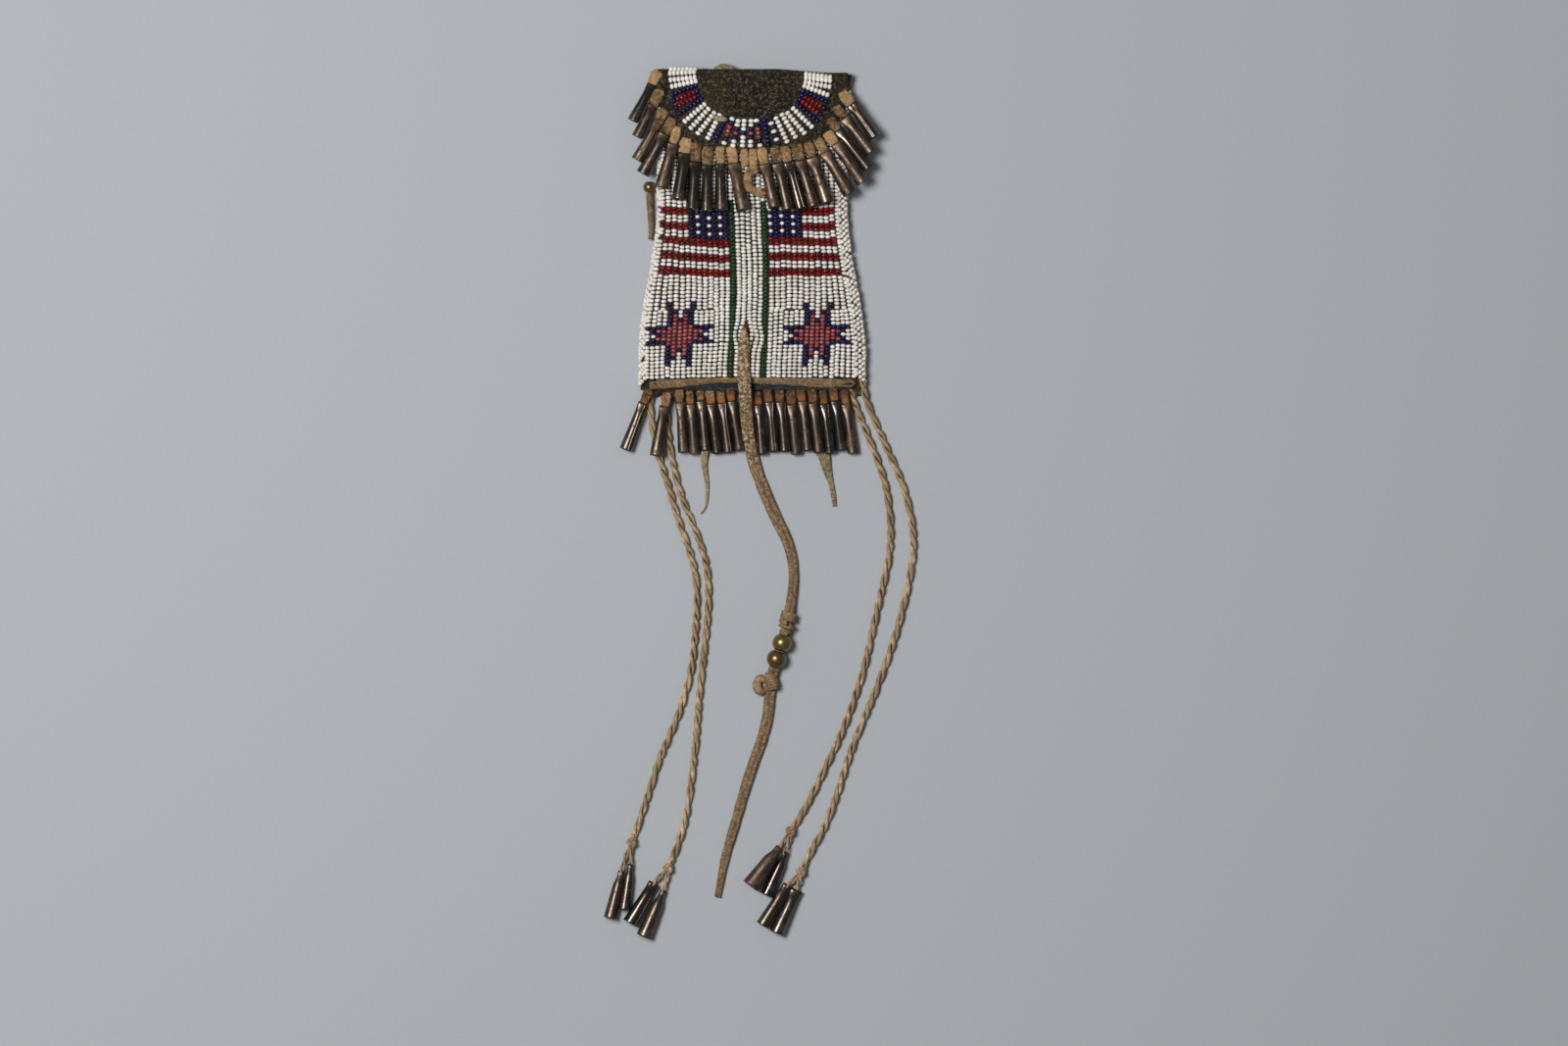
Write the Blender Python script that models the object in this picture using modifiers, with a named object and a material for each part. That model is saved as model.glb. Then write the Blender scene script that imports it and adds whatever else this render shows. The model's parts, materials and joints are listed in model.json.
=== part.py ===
"""Beaded hide strike-a-light bag with tin cones, lying on its back.

X runs to the right, Y runs up the bag towards its flap and Z away from the
table. The origin is the middle of the back hide's flat outer face. All values
are in metres and radians unless a name says degrees.
"""

import math

import bmesh
import bpy
from mathutils import Matrix, Vector

MM = 0.001

# Pouch
POUCH_LENGTH = 108.0 * MM
TOP_WIDTH = 67.6 * MM
BOTTOM_WIDTH = 80.4 * MM
FLARE_START = 47.0 * MM      # below the top edge, where the sides begin to spread
FLARE_END = 99.0 * MM        # below the top edge, where they stop spreading
HIDE = 0.8 * MM              # thickness of every sheet of hide
CAVITY_DEPTH = 4.6 * MM      # clear height inside, in the middle
EDGE_DROP = 3.2 * MM         # how far the beaded face falls towards its sides
MOUTH_GAP = 5.2 * MM         # from the front's upper edge to the turned-up back
CLEAR = 0.3 * MM             # running gap between pieces that touch
LOOSE = 0.42 * MM            # gap below what hangs over the beaded face
SIDE_WIDTH = 2.0 * MM        # width of the beadwork wrapped round each side
SIDE_HEIGHT = 4.8 * MM

# Beadwork
BEAD_THICK = 1.5 * MM        # beadwork on the front, over its backing
STRINGS = 34                 # upright strings of beads across the front
LANES = 9                    # rows of stitching that hold the strings down
RIDGE = 0.45 * MM            # depth of the groove between two strings
LANE_HUMP = 0.35 * MM        # how far a lane stands up between its two stitches

# Bottom hem
HEM_WIDTH = 72.0 * MM
HEM_BAND = 2.7 * MM          # height of the tan band along Y
HEM_HEIGHT = 6.4 * MM        # along Z
LINING_WIDTH = 70.0 * MM
LINING_BAND = 1.9 * MM
LINING_THICK = 1.6 * MM

# Flap
FLAP_REACH = 29.0 * MM       # from the fold to the lowest point of the hide
FLAP_SHOULDER = 2.0 * MM     # straight part of the flap's sides
FLAP_ROUNDNESS = 0.92        # 1 is an ellipse and less is fuller
FLAP_RAYS = 32               # rows of beads round the half ring
RING_INNER = (19.0 * MM, 16.6 * MM)
RING_OUTER = (29.3 * MM, 27.0 * MM)
RING_THICK = 1.4 * MM
RING_RIDGE = 0.4 * MM
RING_HALF_SPAN = math.radians(86.0)

# Hide tabs that carry the cones
TAB_WIDTH = 2.6 * MM
TAB_THICK = 0.8 * MM
TAB_ROOT = 1.6 * MM          # how far a tab reaches back into the hide it grows from
HEM_TAB_Z = 3.9 * MM         # middle of the hem's tabs above the table
TAB_GAP = 0.3 * MM           # from a tab's end to its cone

# Rolled tin cones
TIN = 0.3 * MM
CRIMP_WIDTH = 3.2 * MM
CRIMP_THICK = 1.1 * MM
FRINGE_CONE_MOUTH = 3.6 * MM # outer diameter
CONE_LENGTH = 16.9 * MM      # a cone of the bottom fringe
CONE_SIDES = 8

# Each flap cone: place on the flap's edge in degrees from its lowest point, how
# far it leans to the right in degrees, its tab's length, its own length and the
# outer diameter of its mouth.
FLAP_CONES = [
    (-90.0, -27.5, 2.65 * MM, 14.8 * MM, 3.5 * MM),
    (-77.8, -26.3, 3.75 * MM, 12.6 * MM, 3.5 * MM),
    (-64.7, -30.0, 4.25 * MM, 15.2 * MM, 3.6 * MM),
    (-55.9, -28.7, 4.4 * MM, 16.4 * MM, 4.2 * MM),
    (-49.9, -14.6, 5.35 * MM, 16.3 * MM, 4.5 * MM),
    (-40.5, -8.0, 5.7 * MM, 16.7 * MM, 4.5 * MM),
    (-33.0, -4.0, 6.8 * MM, 16.9 * MM, 4.3 * MM),
    (-25.5, -1.0, 6.2 * MM, 16.6 * MM, 4.1 * MM),
    (-17.5, 1.0, 4.6 * MM, 16.6 * MM, 4.1 * MM),
    (-11.0, 12.0, 3.6 * MM, 17.3 * MM, 4.5 * MM),
    (4.9, 13.1, 3.6 * MM, 16.1 * MM, 4.1 * MM),
    (12.2, 12.6, 3.7 * MM, 17.3 * MM, 4.0 * MM),
    (18.1, 15.1, 4.05 * MM, 17.6 * MM, 4.1 * MM),
    (25.3, 16.5, 4.65 * MM, 17.4 * MM, 4.3 * MM),
    (32.8, 18.3, 5.25 * MM, 17.3 * MM, 4.4 * MM),
    (39.5, 31.0, 5.9 * MM, 17.3 * MM, 4.4 * MM),
    (48.0, 35.3, 5.7 * MM, 17.0 * MM, 4.3 * MM),
    (55.1, 38.2, 3.05 * MM, 17.4 * MM, 4.0 * MM),
    (64.4, 38.1, 2.3 * MM, 15.6 * MM, 3.9 * MM),
    (76.7, 35.1, 2.95 * MM, 14.6 * MM, 3.9 * MM),
]

# The bottom fringe: two cones that stand apart at the left, then two even runs
# with the tie thong between them. Each run has its first and last top along X
# and its first and last mouth along X.
LONE_CONES = [
    (-38.2 * MM, -5.4 * MM, -44.2 * MM, 2.2 * MM),
    (-30.9 * MM, -6.6 * MM, -33.7 * MM, 5.5 * MM),
]                            # top X, top Y below the hem, mouth X, mouth Z
LONE_CONE_MOUTH = 4.2 * MM
FRINGE_COUNTS = (6, 9)       # cones in each run
FRINGE_RUNS = [
    (-25.4 * MM, -7.1 * MM, -24.3 * MM, -4.5 * MM),
    (2.1 * MM, 32.9 * MM, 3.5 * MM, 35.4 * MM),
]
FRINGE_DROP = 5.2 * MM       # from the hem's lower edge to the cones' tops
FRINGE_UNEVEN = 0.7 * MM     # how much that varies from cone to cone
FRINGE_WAVE = 2.3            # radians from one cone to the next of that variation
FRINGE_MOUTH_Z = 2.2 * MM
STRIP_CONES = (2, 11)        # cones of the runs with a strip of hide hanging out
STRIP_LENGTH = 21.0 * MM
STRIP_WIDTH = 2.6 * MM
STRIP_THICK = 0.7 * MM
STRIP_TAPER = 0.45           # width at its tip as a share of its width

# Tie thong: points along its middle, X and Y, then height above the table
THONG_WIDTH = 3.6 * MM
THONG_THICK = 1.1 * MM
TIE_ROUTE = [
    (-2.8, -36.1, 8.9), (-2.9, -42.3, 9.0), (-3.0, -48.5, 9.0), (-2.7, -54.5, 8.8),
    (-2.4, -60.0, 7.9), (-2.1, -66.0, 6.0), (-1.6, -71.5, 3.7), (-0.8, -77.0, 1.8),
    (0.4, -82.5, 0.8), (2.2, -88.3, 0.7), (5.3, -96.1, 0.7), (8.8, -104.0, 0.7),
    (12.2, -111.0, 0.7), (14.2, -118.5, 0.7), (14.5, -126.0, 0.9), (13.6, -132.5, 1.7),
    (12.4, -139.5, 3.0), (10.6, -147.0, 3.55), (8.5, -152.9, 3.5), (7.0, -159.0, 2.0),
    (6.2, -165.1, 0.9), (5.4, -173.0, 0.7), (3.4, -181.0, 0.7), (0.2, -190.0, 0.7),
    (-3.0, -200.0, 0.7), (-6.0, -210.6, 0.7), (-9.5, -222.7, 0.7), (-12.2, -236.5, 0.7),
]
TIE_BEAD = 6.7 * MM          # outer diameter
TIE_BEAD_LENGTH = 4.9 * MM
TIE_BEAD_HOLE = 4.5 * MM
BEAD_SHOULDER = 0.35         # of a brass bead's wall that is left at its ends
TIE_BEADS = [("tie_bead_upper", -147.2 * MM), ("tie_bead_lower", -153.1 * MM)]

# Short thong and bead at the left side
SIDE_BEAD = 4.3 * MM
SIDE_BEAD_LENGTH = 3.6 * MM
SIDE_BEAD_HOLE = 2.7 * MM
SIDE_THONG = 2.0 * MM        # diameter
SIDE_THONG_TOP = 15.4 * MM
SIDE_THONG_END = -4.7 * MM
SIDE_THONG_Z = 2.4 * MM
SIDE_THONG_PIECES = 8        # straight stretches along it
SIDE_BEAD_PLACE = 0.6        # along the first stretch
SIDE_THONG_LEAN = (0.3, 0.95) # shares of its length between which it nears the side

# Curl of hide at the flap's lowest point: X, Y, relative to that point
LOOP_DIAMETER = 2.1 * MM
LOOP_ROUTE = [
    (-0.4, -0.6), (0.5, -2.6), (1.0, -4.8), (-0.2, -7.0), (-0.9, -9.4),
    (-0.4, -12.2), (1.0, -14.0), (2.8, -14.4), (3.6, -13.4),
]

# Twisted thongs: points along each middle, X and Y, in millimetres
CORD = 2.7 * MM              # diameter
CORD_STEP = 7.0 * MM         # from one point of the curve to the next
CORD_LIFT = 0.05 * MM        # clear of the table
CORD_START_RISE = 1.6 * MM   # of the right outer thong, over its first three points
CORD_ROUTES = {
    "twisted_thong_left_outer": [
        (-35.4, -57.6), (-36.0, -61.6), (-35.5, -67.1), (-34.7, -73.0), (-32.4, -82.8),
        (-29.6, -91.6), (-27.0, -100.6), (-24.3, -108.8), (-22.0, -115.0), (-20.4, -121.3),
        (-19.5, -128.0), (-19.5, -134.5), (-19.9, -141.3), (-20.4, -147.5), (-21.1, -154.0),
        (-22.1, -159.2), (-23.5, -164.7), (-25.2, -169.9), (-27.1, -175.0), (-29.3, -180.2),
        (-31.6, -185.4), (-33.5, -190.3), (-35.0, -195.4), (-36.7, -200.6), (-38.5, -205.8),
        (-40.0, -210.9), (-41.5, -214.6),
    ],
    "twisted_thong_left_inner": [
        (-30.4, -57.6), (-29.9, -65.4), (-29.5, -73.0), (-28.6, -80.2), (-26.2, -91.0),
        (-23.0, -100.6), (-20.0, -107.6), (-17.5, -114.7), (-15.9, -121.5), (-15.4, -129.2),
        (-15.6, -136.4), (-16.4, -144.4), (-17.3, -153.4), (-18.1, -160.6), (-18.8, -167.8),
        (-19.4, -175.4), (-20.0, -183.0), (-20.9, -190.8), (-21.9, -199.0), (-23.0, -206.5),
        (-24.6, -213.2), (-26.8, -219.6), (-28.3, -223.6),
    ],
    "twisted_thong_right_inner": [
        (34.5, -57.7), (35.8, -61.8), (37.0, -65.2), (38.4, -68.8), (40.2, -73.2),
        (42.0, -77.6), (43.6, -81.8), (45.2, -86.2), (46.8, -91.6), (48.0, -98.8),
        (48.7, -107.5), (48.1, -116.1), (46.9, -122.8), (45.4, -129.0), (44.0, -135.2),
        (42.6, -141.5), (41.2, -147.7), (39.8, -154.0), (38.1, -160.0), (36.4, -165.3),
        (34.6, -170.3), (32.9, -175.2), (30.8, -180.2), (28.5, -185.2), (26.0, -190.3),
        (23.5, -195.6), (20.9, -200.8), (18.3, -205.6), (16.0, -209.4), (14.9, -211.2),
    ],
    "twisted_thong_right_outer": [
        (38.8, -54.4), (39.2, -58.2), (40.4, -62.4), (42.1, -66.6), (44.2, -71.4),
        (46.3, -76.2), (48.4, -81.0), (50.5, -85.6), (52.4, -90.2), (54.2, -95.8),
        (55.5, -101.4), (56.5, -107.5), (56.7, -113.6), (55.9, -120.6), (54.4, -129.0),
        (52.5, -136.6), (50.5, -144.0), (48.2, -151.0), (45.8, -157.6), (43.4, -163.8),
        (40.9, -169.9), (38.4, -175.8), (36.0, -181.6), (33.9, -187.6), (31.9, -193.8),
        (29.9, -200.0), (27.8, -206.0), (25.5, -211.6), (22.9, -216.6), (20.2, -221.2),
        (18.4, -225.0),
    ],
}

# What hangs at each twisted thong's end: the knot, then each cone's top and
# mouth, X and Y, in millimetres
KNOT = 4.7 * MM              # diameter
STRAND = 1.3 * MM            # diameter
STRAND_END = 1.2 * MM        # how far a strand goes into its cone
PENDANT_MOUTH = 4.4 * MM
PENDANTS = {
    "pendant_cones_left_outer": ((-42.6, -217.1), [
        ((-46.7, -227.2), (-50.6, -244.1)), ((-42.6, -225.0), (-45.2, -241.5)),
    ]),
    "pendant_cones_left_inner": ((-29.4, -226.3), [
        ((-34.6, -232.6), (-41.5, -246.6)), ((-30.6, -235.2), (-36.6, -250.8)),
    ]),
    "pendant_cones_right_inner": ((13.4, -213.5), [
        ((9.2, -218.4), (-1.2, -232.0)), ((11.9, -221.0), (4.2, -236.0)),
    ]),
    "pendant_cones_right_outer": ((17.4, -227.6), [
        ((12.4, -233.4), (4.2, -247.6)), ((16.4, -234.4), (9.4, -250.2)),
    ]),
}

# Pale thong that shows behind the fold
BACK_THONG_WIDTH = 6.4 * MM
BACK_THONG_X = -8.6 * MM
BACK_THONG_RISE = 2.6 * MM   # how far it stands out beyond the fold
BACK_THONG_THICK = 1.6 * MM
BACK_THONG_Z = 2.4 * MM
BACK_THONG_EDGE = 0.5 * MM   # rounding of its edges

# Values that follow from the sizes above
TOP = POUCH_LENGTH / 2
BOTTOM = -POUCH_LENGTH / 2
CAVITY_TOP = HIDE + CAVITY_DEPTH
FACE_HEIGHT = CAVITY_TOP + HIDE + CLEAR + BEAD_THICK
FRONT_TOP = TOP - HIDE - MOUTH_GAP
FRONT_LENGTH = FRONT_TOP - BOTTOM
FLAP_HINGE_Z = FACE_HEIGHT + CLEAR + HIDE / 2
HEM_TOP = BOTTOM - CLEAR
HEM_LOW = HEM_TOP - HEM_BAND
LINING_TOP = HEM_LOW - CLEAR
COLOURS = {
    "tan_hide": (0.34, 0.24, 0.14), "dark_hide": (0.045, 0.035, 0.022),
    "white_beads": (0.72, 0.68, 0.60), "lining": (0.02, 0.025, 0.04),
    "tin": (0.10, 0.08, 0.07), "brass": (0.45, 0.27, 0.07), "thong": (0.36, 0.23, 0.12),
}
METALS = {"tin", "brass"}


def smooth_step(value):
    """Rises from 0 to 1 with level ends."""
    value = min(max(value, 0.0), 1.0)
    return value * value * (3 - 2 * value)


def half_width(y):
    """Half of the pouch's width at a height y."""
    spread = smooth_step((TOP - y - FLARE_START) / (FLARE_END - FLARE_START))
    return (TOP_WIDTH + (BOTTOM_WIDTH - TOP_WIDTH) * spread) / 2


def face_height(x, y):
    """Height of the beaded face, which falls away towards both sides."""
    share = min(abs(x) / half_width(y), 1.0)
    return FACE_HEIGHT - EDGE_DROP * share ** 4


def clear_scene():
    for obj in list(bpy.data.objects):
        bpy.data.objects.remove(obj, do_unlink=True)


def make_collection(name):
    collection = bpy.data.collections.new(name)
    bpy.context.scene.collection.children.link(collection)
    return collection


def make_material(name):
    colour = COLOURS[name]
    material = bpy.data.materials.new(name)
    material.use_nodes = True
    surface = material.node_tree.nodes["Principled BSDF"]
    surface.inputs["Base Color"].default_value = (*colour, 1.0)
    surface.inputs["Metallic"].default_value = 1.0 if name in METALS else 0.0
    surface.inputs["Roughness"].default_value = 0.4 if name in METALS else 0.8
    return material


def add_object(name, mesh, material, collection):
    obj = bpy.data.objects.new(name, mesh)
    if not mesh.materials:
        mesh.materials.append(material)
    collection.objects.link(obj)
    return obj


def to_mesh(name, bm):
    mesh = bpy.data.meshes.new(name)
    bmesh.ops.recalc_face_normals(bm, faces=bm.faces)
    bm.to_mesh(mesh)
    bm.free()
    return mesh


def hide_guide(obj):
    obj.hide_render = True
    obj.display_type = "WIRE"


def fuse(obj, guides):
    """Joins the closed guide bodies onto the object."""
    for guide in guides:
        hide_guide(guide)
        union = obj.modifiers.new("join " + guide.name, "BOOLEAN")
        union.operation = "UNION"
        union.object = guide


def sheet_panel(name, columns, rows, place, top, under, under_rows):
    """A closed panel between two height functions over a grid.

    place gives a grid point's X and Y. The underside is plainer than the top:
    it only has the rows that under_rows lists.
    """
    bm = bmesh.new()

    def point(column, row, height):
        x, y = place(column, row)
        return bm.verts.new((x, y, height(x, y, column, row)))

    upper = [[point(c, r, top) for c in range(columns + 1)] for r in range(rows + 1)]
    lower = {r: [point(c, r, under) for c in range(columns + 1)] for r in under_rows}
    for r in range(rows):
        for c in range(columns):
            bm.faces.new((upper[r][c], upper[r][c + 1], upper[r + 1][c + 1], upper[r + 1][c]))
    for start, stop in zip(under_rows, under_rows[1:]):
        for c in range(columns):
            bm.faces.new((lower[start][c], lower[stop][c], lower[stop][c + 1],
                          lower[start][c + 1]))
        for c in (0, columns):
            side = [upper[r][c] for r in range(start, stop + 1)]
            bm.faces.new(side + [lower[stop][c], lower[start][c]])
    for r in (0, rows):
        for c in range(columns):
            bm.faces.new((upper[r][c], upper[r][c + 1], lower[r][c + 1], lower[r][c]))
    return to_mesh(name, bm)


def smooth_route(points, spacing):
    """Points at even steps along a smooth curve through the given points."""
    points = [Vector(p) for p in points]
    ends = [points[0] * 2 - points[1]] + points + [points[-1] * 2 - points[-2]]
    fine = []
    for a, b, c, d in zip(ends, ends[1:], ends[2:], ends[3:]):
        for step in range(16):
            t = step / 16
            fine.append(0.5 * (2 * b + (c - a) * t + (2 * a - 5 * b + 4 * c - d) * t * t
                               + (3 * b - a - 3 * c + d) * t ** 3))
    fine.append(points[-1])
    lengths = [0.0]
    for a, b in zip(fine, fine[1:]):
        lengths.append(lengths[-1] + (b - a).length)
    count = max(2, round(lengths[-1] / spacing))
    route, place = [], 0
    for step in range(count + 1):
        target = lengths[-1] * step / count
        while place < len(fine) - 2 and lengths[place + 1] < target:
            place += 1
        part = (target - lengths[place]) / (lengths[place + 1] - lengths[place])
        route.append(fine[place].lerp(fine[place + 1], min(part, 1.0)))
    return route


def tube(name, route, radius, material, collection):
    """A round cord along a route, as a curve with filled ends."""
    curve = bpy.data.curves.new(name, "CURVE")
    curve.dimensions = "3D"
    curve.bevel_depth = radius
    curve.bevel_resolution = 2
    curve.use_fill_caps = True
    spline = curve.splines.new("POLY")
    spline.points.add(len(route) - 1)
    for target, point in zip(spline.points, route):
        target.co = (*point, 1.0)
    obj = bpy.data.objects.new(name, curve)
    curve.materials.append(material)
    collection.objects.link(obj)
    return obj


def solid_tube(name, route, radius, material, collection):
    """The same tube as a closed mesh, for joining onto other pieces."""
    curve_object = tube(name, route, radius, material, collection)
    bpy.context.view_layer.update()
    depsgraph = bpy.context.evaluated_depsgraph_get()
    mesh = bpy.data.meshes.new_from_object(curve_object.evaluated_get(depsgraph))
    bm = bmesh.new()
    bm.from_mesh(mesh)
    bmesh.ops.remove_doubles(bm, verts=bm.verts, dist=0.00001)
    bm.to_mesh(mesh)
    bm.free()
    bpy.data.objects.remove(curve_object, do_unlink=True)
    return add_object(name, mesh, material, collection)


def strap(name, route, width, thick, material, collection, taper=1.0):
    """A flat thong that stays level across its width, with rounded edges."""
    section = [(0.5, -0.2), (0.5, 0.2), (0.42, 0.5), (-0.42, 0.5),
               (-0.5, 0.2), (-0.5, -0.2), (-0.42, -0.5), (0.42, -0.5)]
    bm = bmesh.new()
    rings = []
    for index, point in enumerate(route):
        before, after = route[max(index - 1, 0)], route[min(index + 1, len(route) - 1)]
        along = (after - before).normalized()
        across = along.cross(Vector((0, 0, 1))).normalized()
        up = across.cross(along)
        share = 1 + (taper - 1) * index / (len(route) - 1)
        rings.append([bm.verts.new(point + across * a * width * share + up * b * thick)
                      for a, b in section])
    for first, second in zip(rings, rings[1:]):
        for k in range(len(section)):
            following = (k + 1) % len(section)
            bm.faces.new((first[k], first[following], second[following], second[k]))
    bm.faces.new(rings[0])
    bm.faces.new(rings[-1])
    return add_object(name, to_mesh(name, bm), material, collection)


def block(name, size, place, material, collection, rounding=0.0):
    """A box with its middle at place, which may be a matrix."""
    bm = bmesh.new()
    bmesh.ops.create_cube(bm, size=1.0)
    bmesh.ops.scale(bm, vec=size, verts=bm.verts)
    obj = add_object(name, to_mesh(name, bm), material, collection)
    obj.matrix_world = place if isinstance(place, Matrix) else Matrix.Translation(place)
    if rounding:
        bevel = obj.modifiers.new("rounded edges", "BEVEL")
        bevel.width = rounding
        bevel.segments = 2
    return obj


def cone_shell(name, mouth, length):
    """A rolled cone along -Y, crimped flat at its top and open at its mouth.

    Its origin is on the line that it swings on, over the end of its tab.
    """
    bm = bmesh.new()
    bmesh.ops.create_cone(bm, cap_ends=True, segments=CONE_SIDES, radius1=mouth / 2,
                          radius2=CRIMP_WIDTH / 2, depth=length)
    for vert in bm.verts:
        if vert.co.z > 0:
            vert.co.y *= CRIMP_THICK / CRIMP_WIDTH
    open_end = [f for f in bm.faces if len(f.verts) == CONE_SIDES and f.normal.z < -0.5]
    bmesh.ops.delete(bm, geom=open_end, context="FACES_ONLY")
    bmesh.ops.rotate(bm, verts=bm.verts, cent=(0, 0, 0),
                     matrix=Matrix.Rotation(-math.pi / 2, 3, "X"))
    bmesh.ops.translate(bm, verts=bm.verts,
                        vec=(0, -length / 2 - TAB_GAP / 2, -TAB_THICK / 2))
    mesh = bpy.data.meshes.new(name)
    bm.to_mesh(mesh)
    bm.free()
    return mesh


def add_wall(obj):
    """Gives the open cone its sheet thickness, inwards."""
    wall = obj.modifiers.new("sheet thickness", "SOLIDIFY")
    wall.thickness = TIN
    wall.offset = -1.0
    wall.use_even_offset = True


def lay_matrix(top, lean, drop, length):
    """Places a cone: its swing line at top, leaning right by lean, mouth lower by drop."""
    pitch = math.asin(max(-1.0, min(1.0, drop / length)))
    return (Matrix.Translation(top) @ Matrix.Rotation(lean, 4, "Z")
            @ Matrix.Rotation(pitch, 4, "X"))


def lay_cone(name, mouth, length, top, lean, drop, material, collection):
    obj = add_object(name, cone_shell(name, mouth, length), material, collection)
    add_wall(obj)
    obj.matrix_world = lay_matrix(top, lean, drop, length)
    return obj


def add_pouch(parts, guides, paint):
    """Back hide with its turned-up end, front hide and the beadwork on it."""
    backing = CLEAR + SIDE_WIDTH

    def back_place(column, row):
        y = BOTTOM + POUCH_LENGTH * row / LANES
        return (2 * column - 1) * (half_width(y) - backing), y

    back = add_object("pouch_back", sheet_panel(
        "pouch_back", 1, LANES, back_place, lambda x, y, c, r: HIDE,
        lambda x, y, c, r: 0.0, list(range(LANES + 1))), paint["tan_hide"], parts)

    spine_columns = 12

    def spine_place(column, row):
        side = half_width(TOP) - backing
        return side * (2 * column / spine_columns - 1), TOP - HIDE * (1 - row)

    spine = add_object("turned_up_end", sheet_panel(
        "turned_up_end", spine_columns, 1, spine_place,
        lambda x, y, c, r: face_height(x, TOP), lambda x, y, c, r: HIDE / 4, [0, 1]),
        paint["tan_hide"], guides)
    thong = block("back_thong", (BACK_THONG_WIDTH, BACK_THONG_RISE, BACK_THONG_THICK),
                  (BACK_THONG_X, TOP + BACK_THONG_RISE / 2 - HIDE / 2, BACK_THONG_Z),
                  paint["thong"], guides, BACK_THONG_EDGE)
    fuse(back, [spine, thong])

    def front_place(columns, rows):
        def place(column, row):
            y = BOTTOM + FRONT_LENGTH * row / rows
            return (2 * column / columns - 1) * (half_width(y) - backing), y
        return place

    front_columns = 12
    front_top = BEAD_THICK + CLEAR
    add_object("pouch_front", sheet_panel(
        "pouch_front", front_columns, LANES, front_place(front_columns, LANES),
        lambda x, y, c, r: face_height(x, y) - front_top,
        lambda x, y, c, r: face_height(x, y) - front_top - HIDE,
        list(range(LANES + 1))), paint["dark_hide"], parts)

    def beaded_top(x, y, column, row):
        groove = 0.0 if column % 2 else RIDGE
        stitch = 0.0 if row % 2 else LANE_HUMP
        return face_height(x, y) - groove - stitch

    add_object("front_beadwork", sheet_panel(
        "front_beadwork", 2 * STRINGS, 2 * LANES, front_place(2 * STRINGS, 2 * LANES),
        beaded_top, lambda x, y, c, r: face_height(x, y) - BEAD_THICK,
        list(range(0, 2 * LANES + 1, 2))), paint["white_beads"], parts)


def add_side_beading(parts, guides, paint):
    """Rounded bars of beadwork that close the pouch's two sides."""
    for name, side in (("side_beading_left", -1), ("side_beading_right", 1)):
        route = []
        for row in range(LANES + 1):
            y = BOTTOM + POUCH_LENGTH * row / LANES
            route.append(Vector((side * (half_width(y) - SIDE_WIDTH / 2), y, 0)))
        bar = tube(name, route, SIDE_WIDTH / 2, paint["white_beads"], parts)
        bar.scale.z = SIDE_HEIGHT / SIDE_WIDTH
        bar.location.z = SIDE_HEIGHT / 2 + CORD_LIFT


def carry_tab(name, start, end, thick_middle, material, guides):
    """A tab from a point inside its carrier to just short of its cone."""
    run = end - start
    lean = math.atan2(run.x, -run.y)
    middle = (start + end) / 2
    middle.z = thick_middle
    turn = Matrix.Translation(middle) @ Matrix.Rotation(lean, 4, "Z")
    return block(name, (TAB_WIDTH, run.length, TAB_THICK), turn, material, guides)


def fringe_places():
    """Each fringe cone's top, mouth X, mouth Z and mouth diameter."""
    places = [(Vector((x, HEM_LOW + y, HEM_TAB_Z)), mouth_x, mouth_z, LONE_CONE_MOUTH)
              for x, y, mouth_x, mouth_z in LONE_CONES]
    number = 0
    for count, (top_first, top_last, mouth_first, mouth_last) in zip(FRINGE_COUNTS,
                                                                    FRINGE_RUNS):
        for index in range(count):
            share = index / (count - 1)
            x = top_first + (top_last - top_first) * share
            y = HEM_LOW - FRINGE_DROP - FRINGE_UNEVEN * math.sin(FRINGE_WAVE * number)
            mouth_x = mouth_first + (mouth_last - mouth_first) * share
            places.append((Vector((x, y, HEM_TAB_Z)), mouth_x, FRINGE_MOUTH_Z,
                           FRINGE_CONE_MOUTH))
            number += 1
    return places


def hide_strip(name, crimp, mouth, material, guides):
    """A strip that runs through a cone from its crimp and lies out on the table."""
    along = (mouth - crimp).normalized()
    level = Vector((along.x, along.y, 0)).normalized()
    rest = STRIP_THICK / 2 + CORD_LIFT
    route = [crimp + along * TIN / 2, mouth]
    for share in (0.5, 1.0):
        point = mouth + level * STRIP_LENGTH * share
        route.append(Vector((point.x, point.y, rest)))
    return strap(name, route, STRIP_WIDTH, STRIP_THICK, material, guides, STRIP_TAPER)


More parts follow.
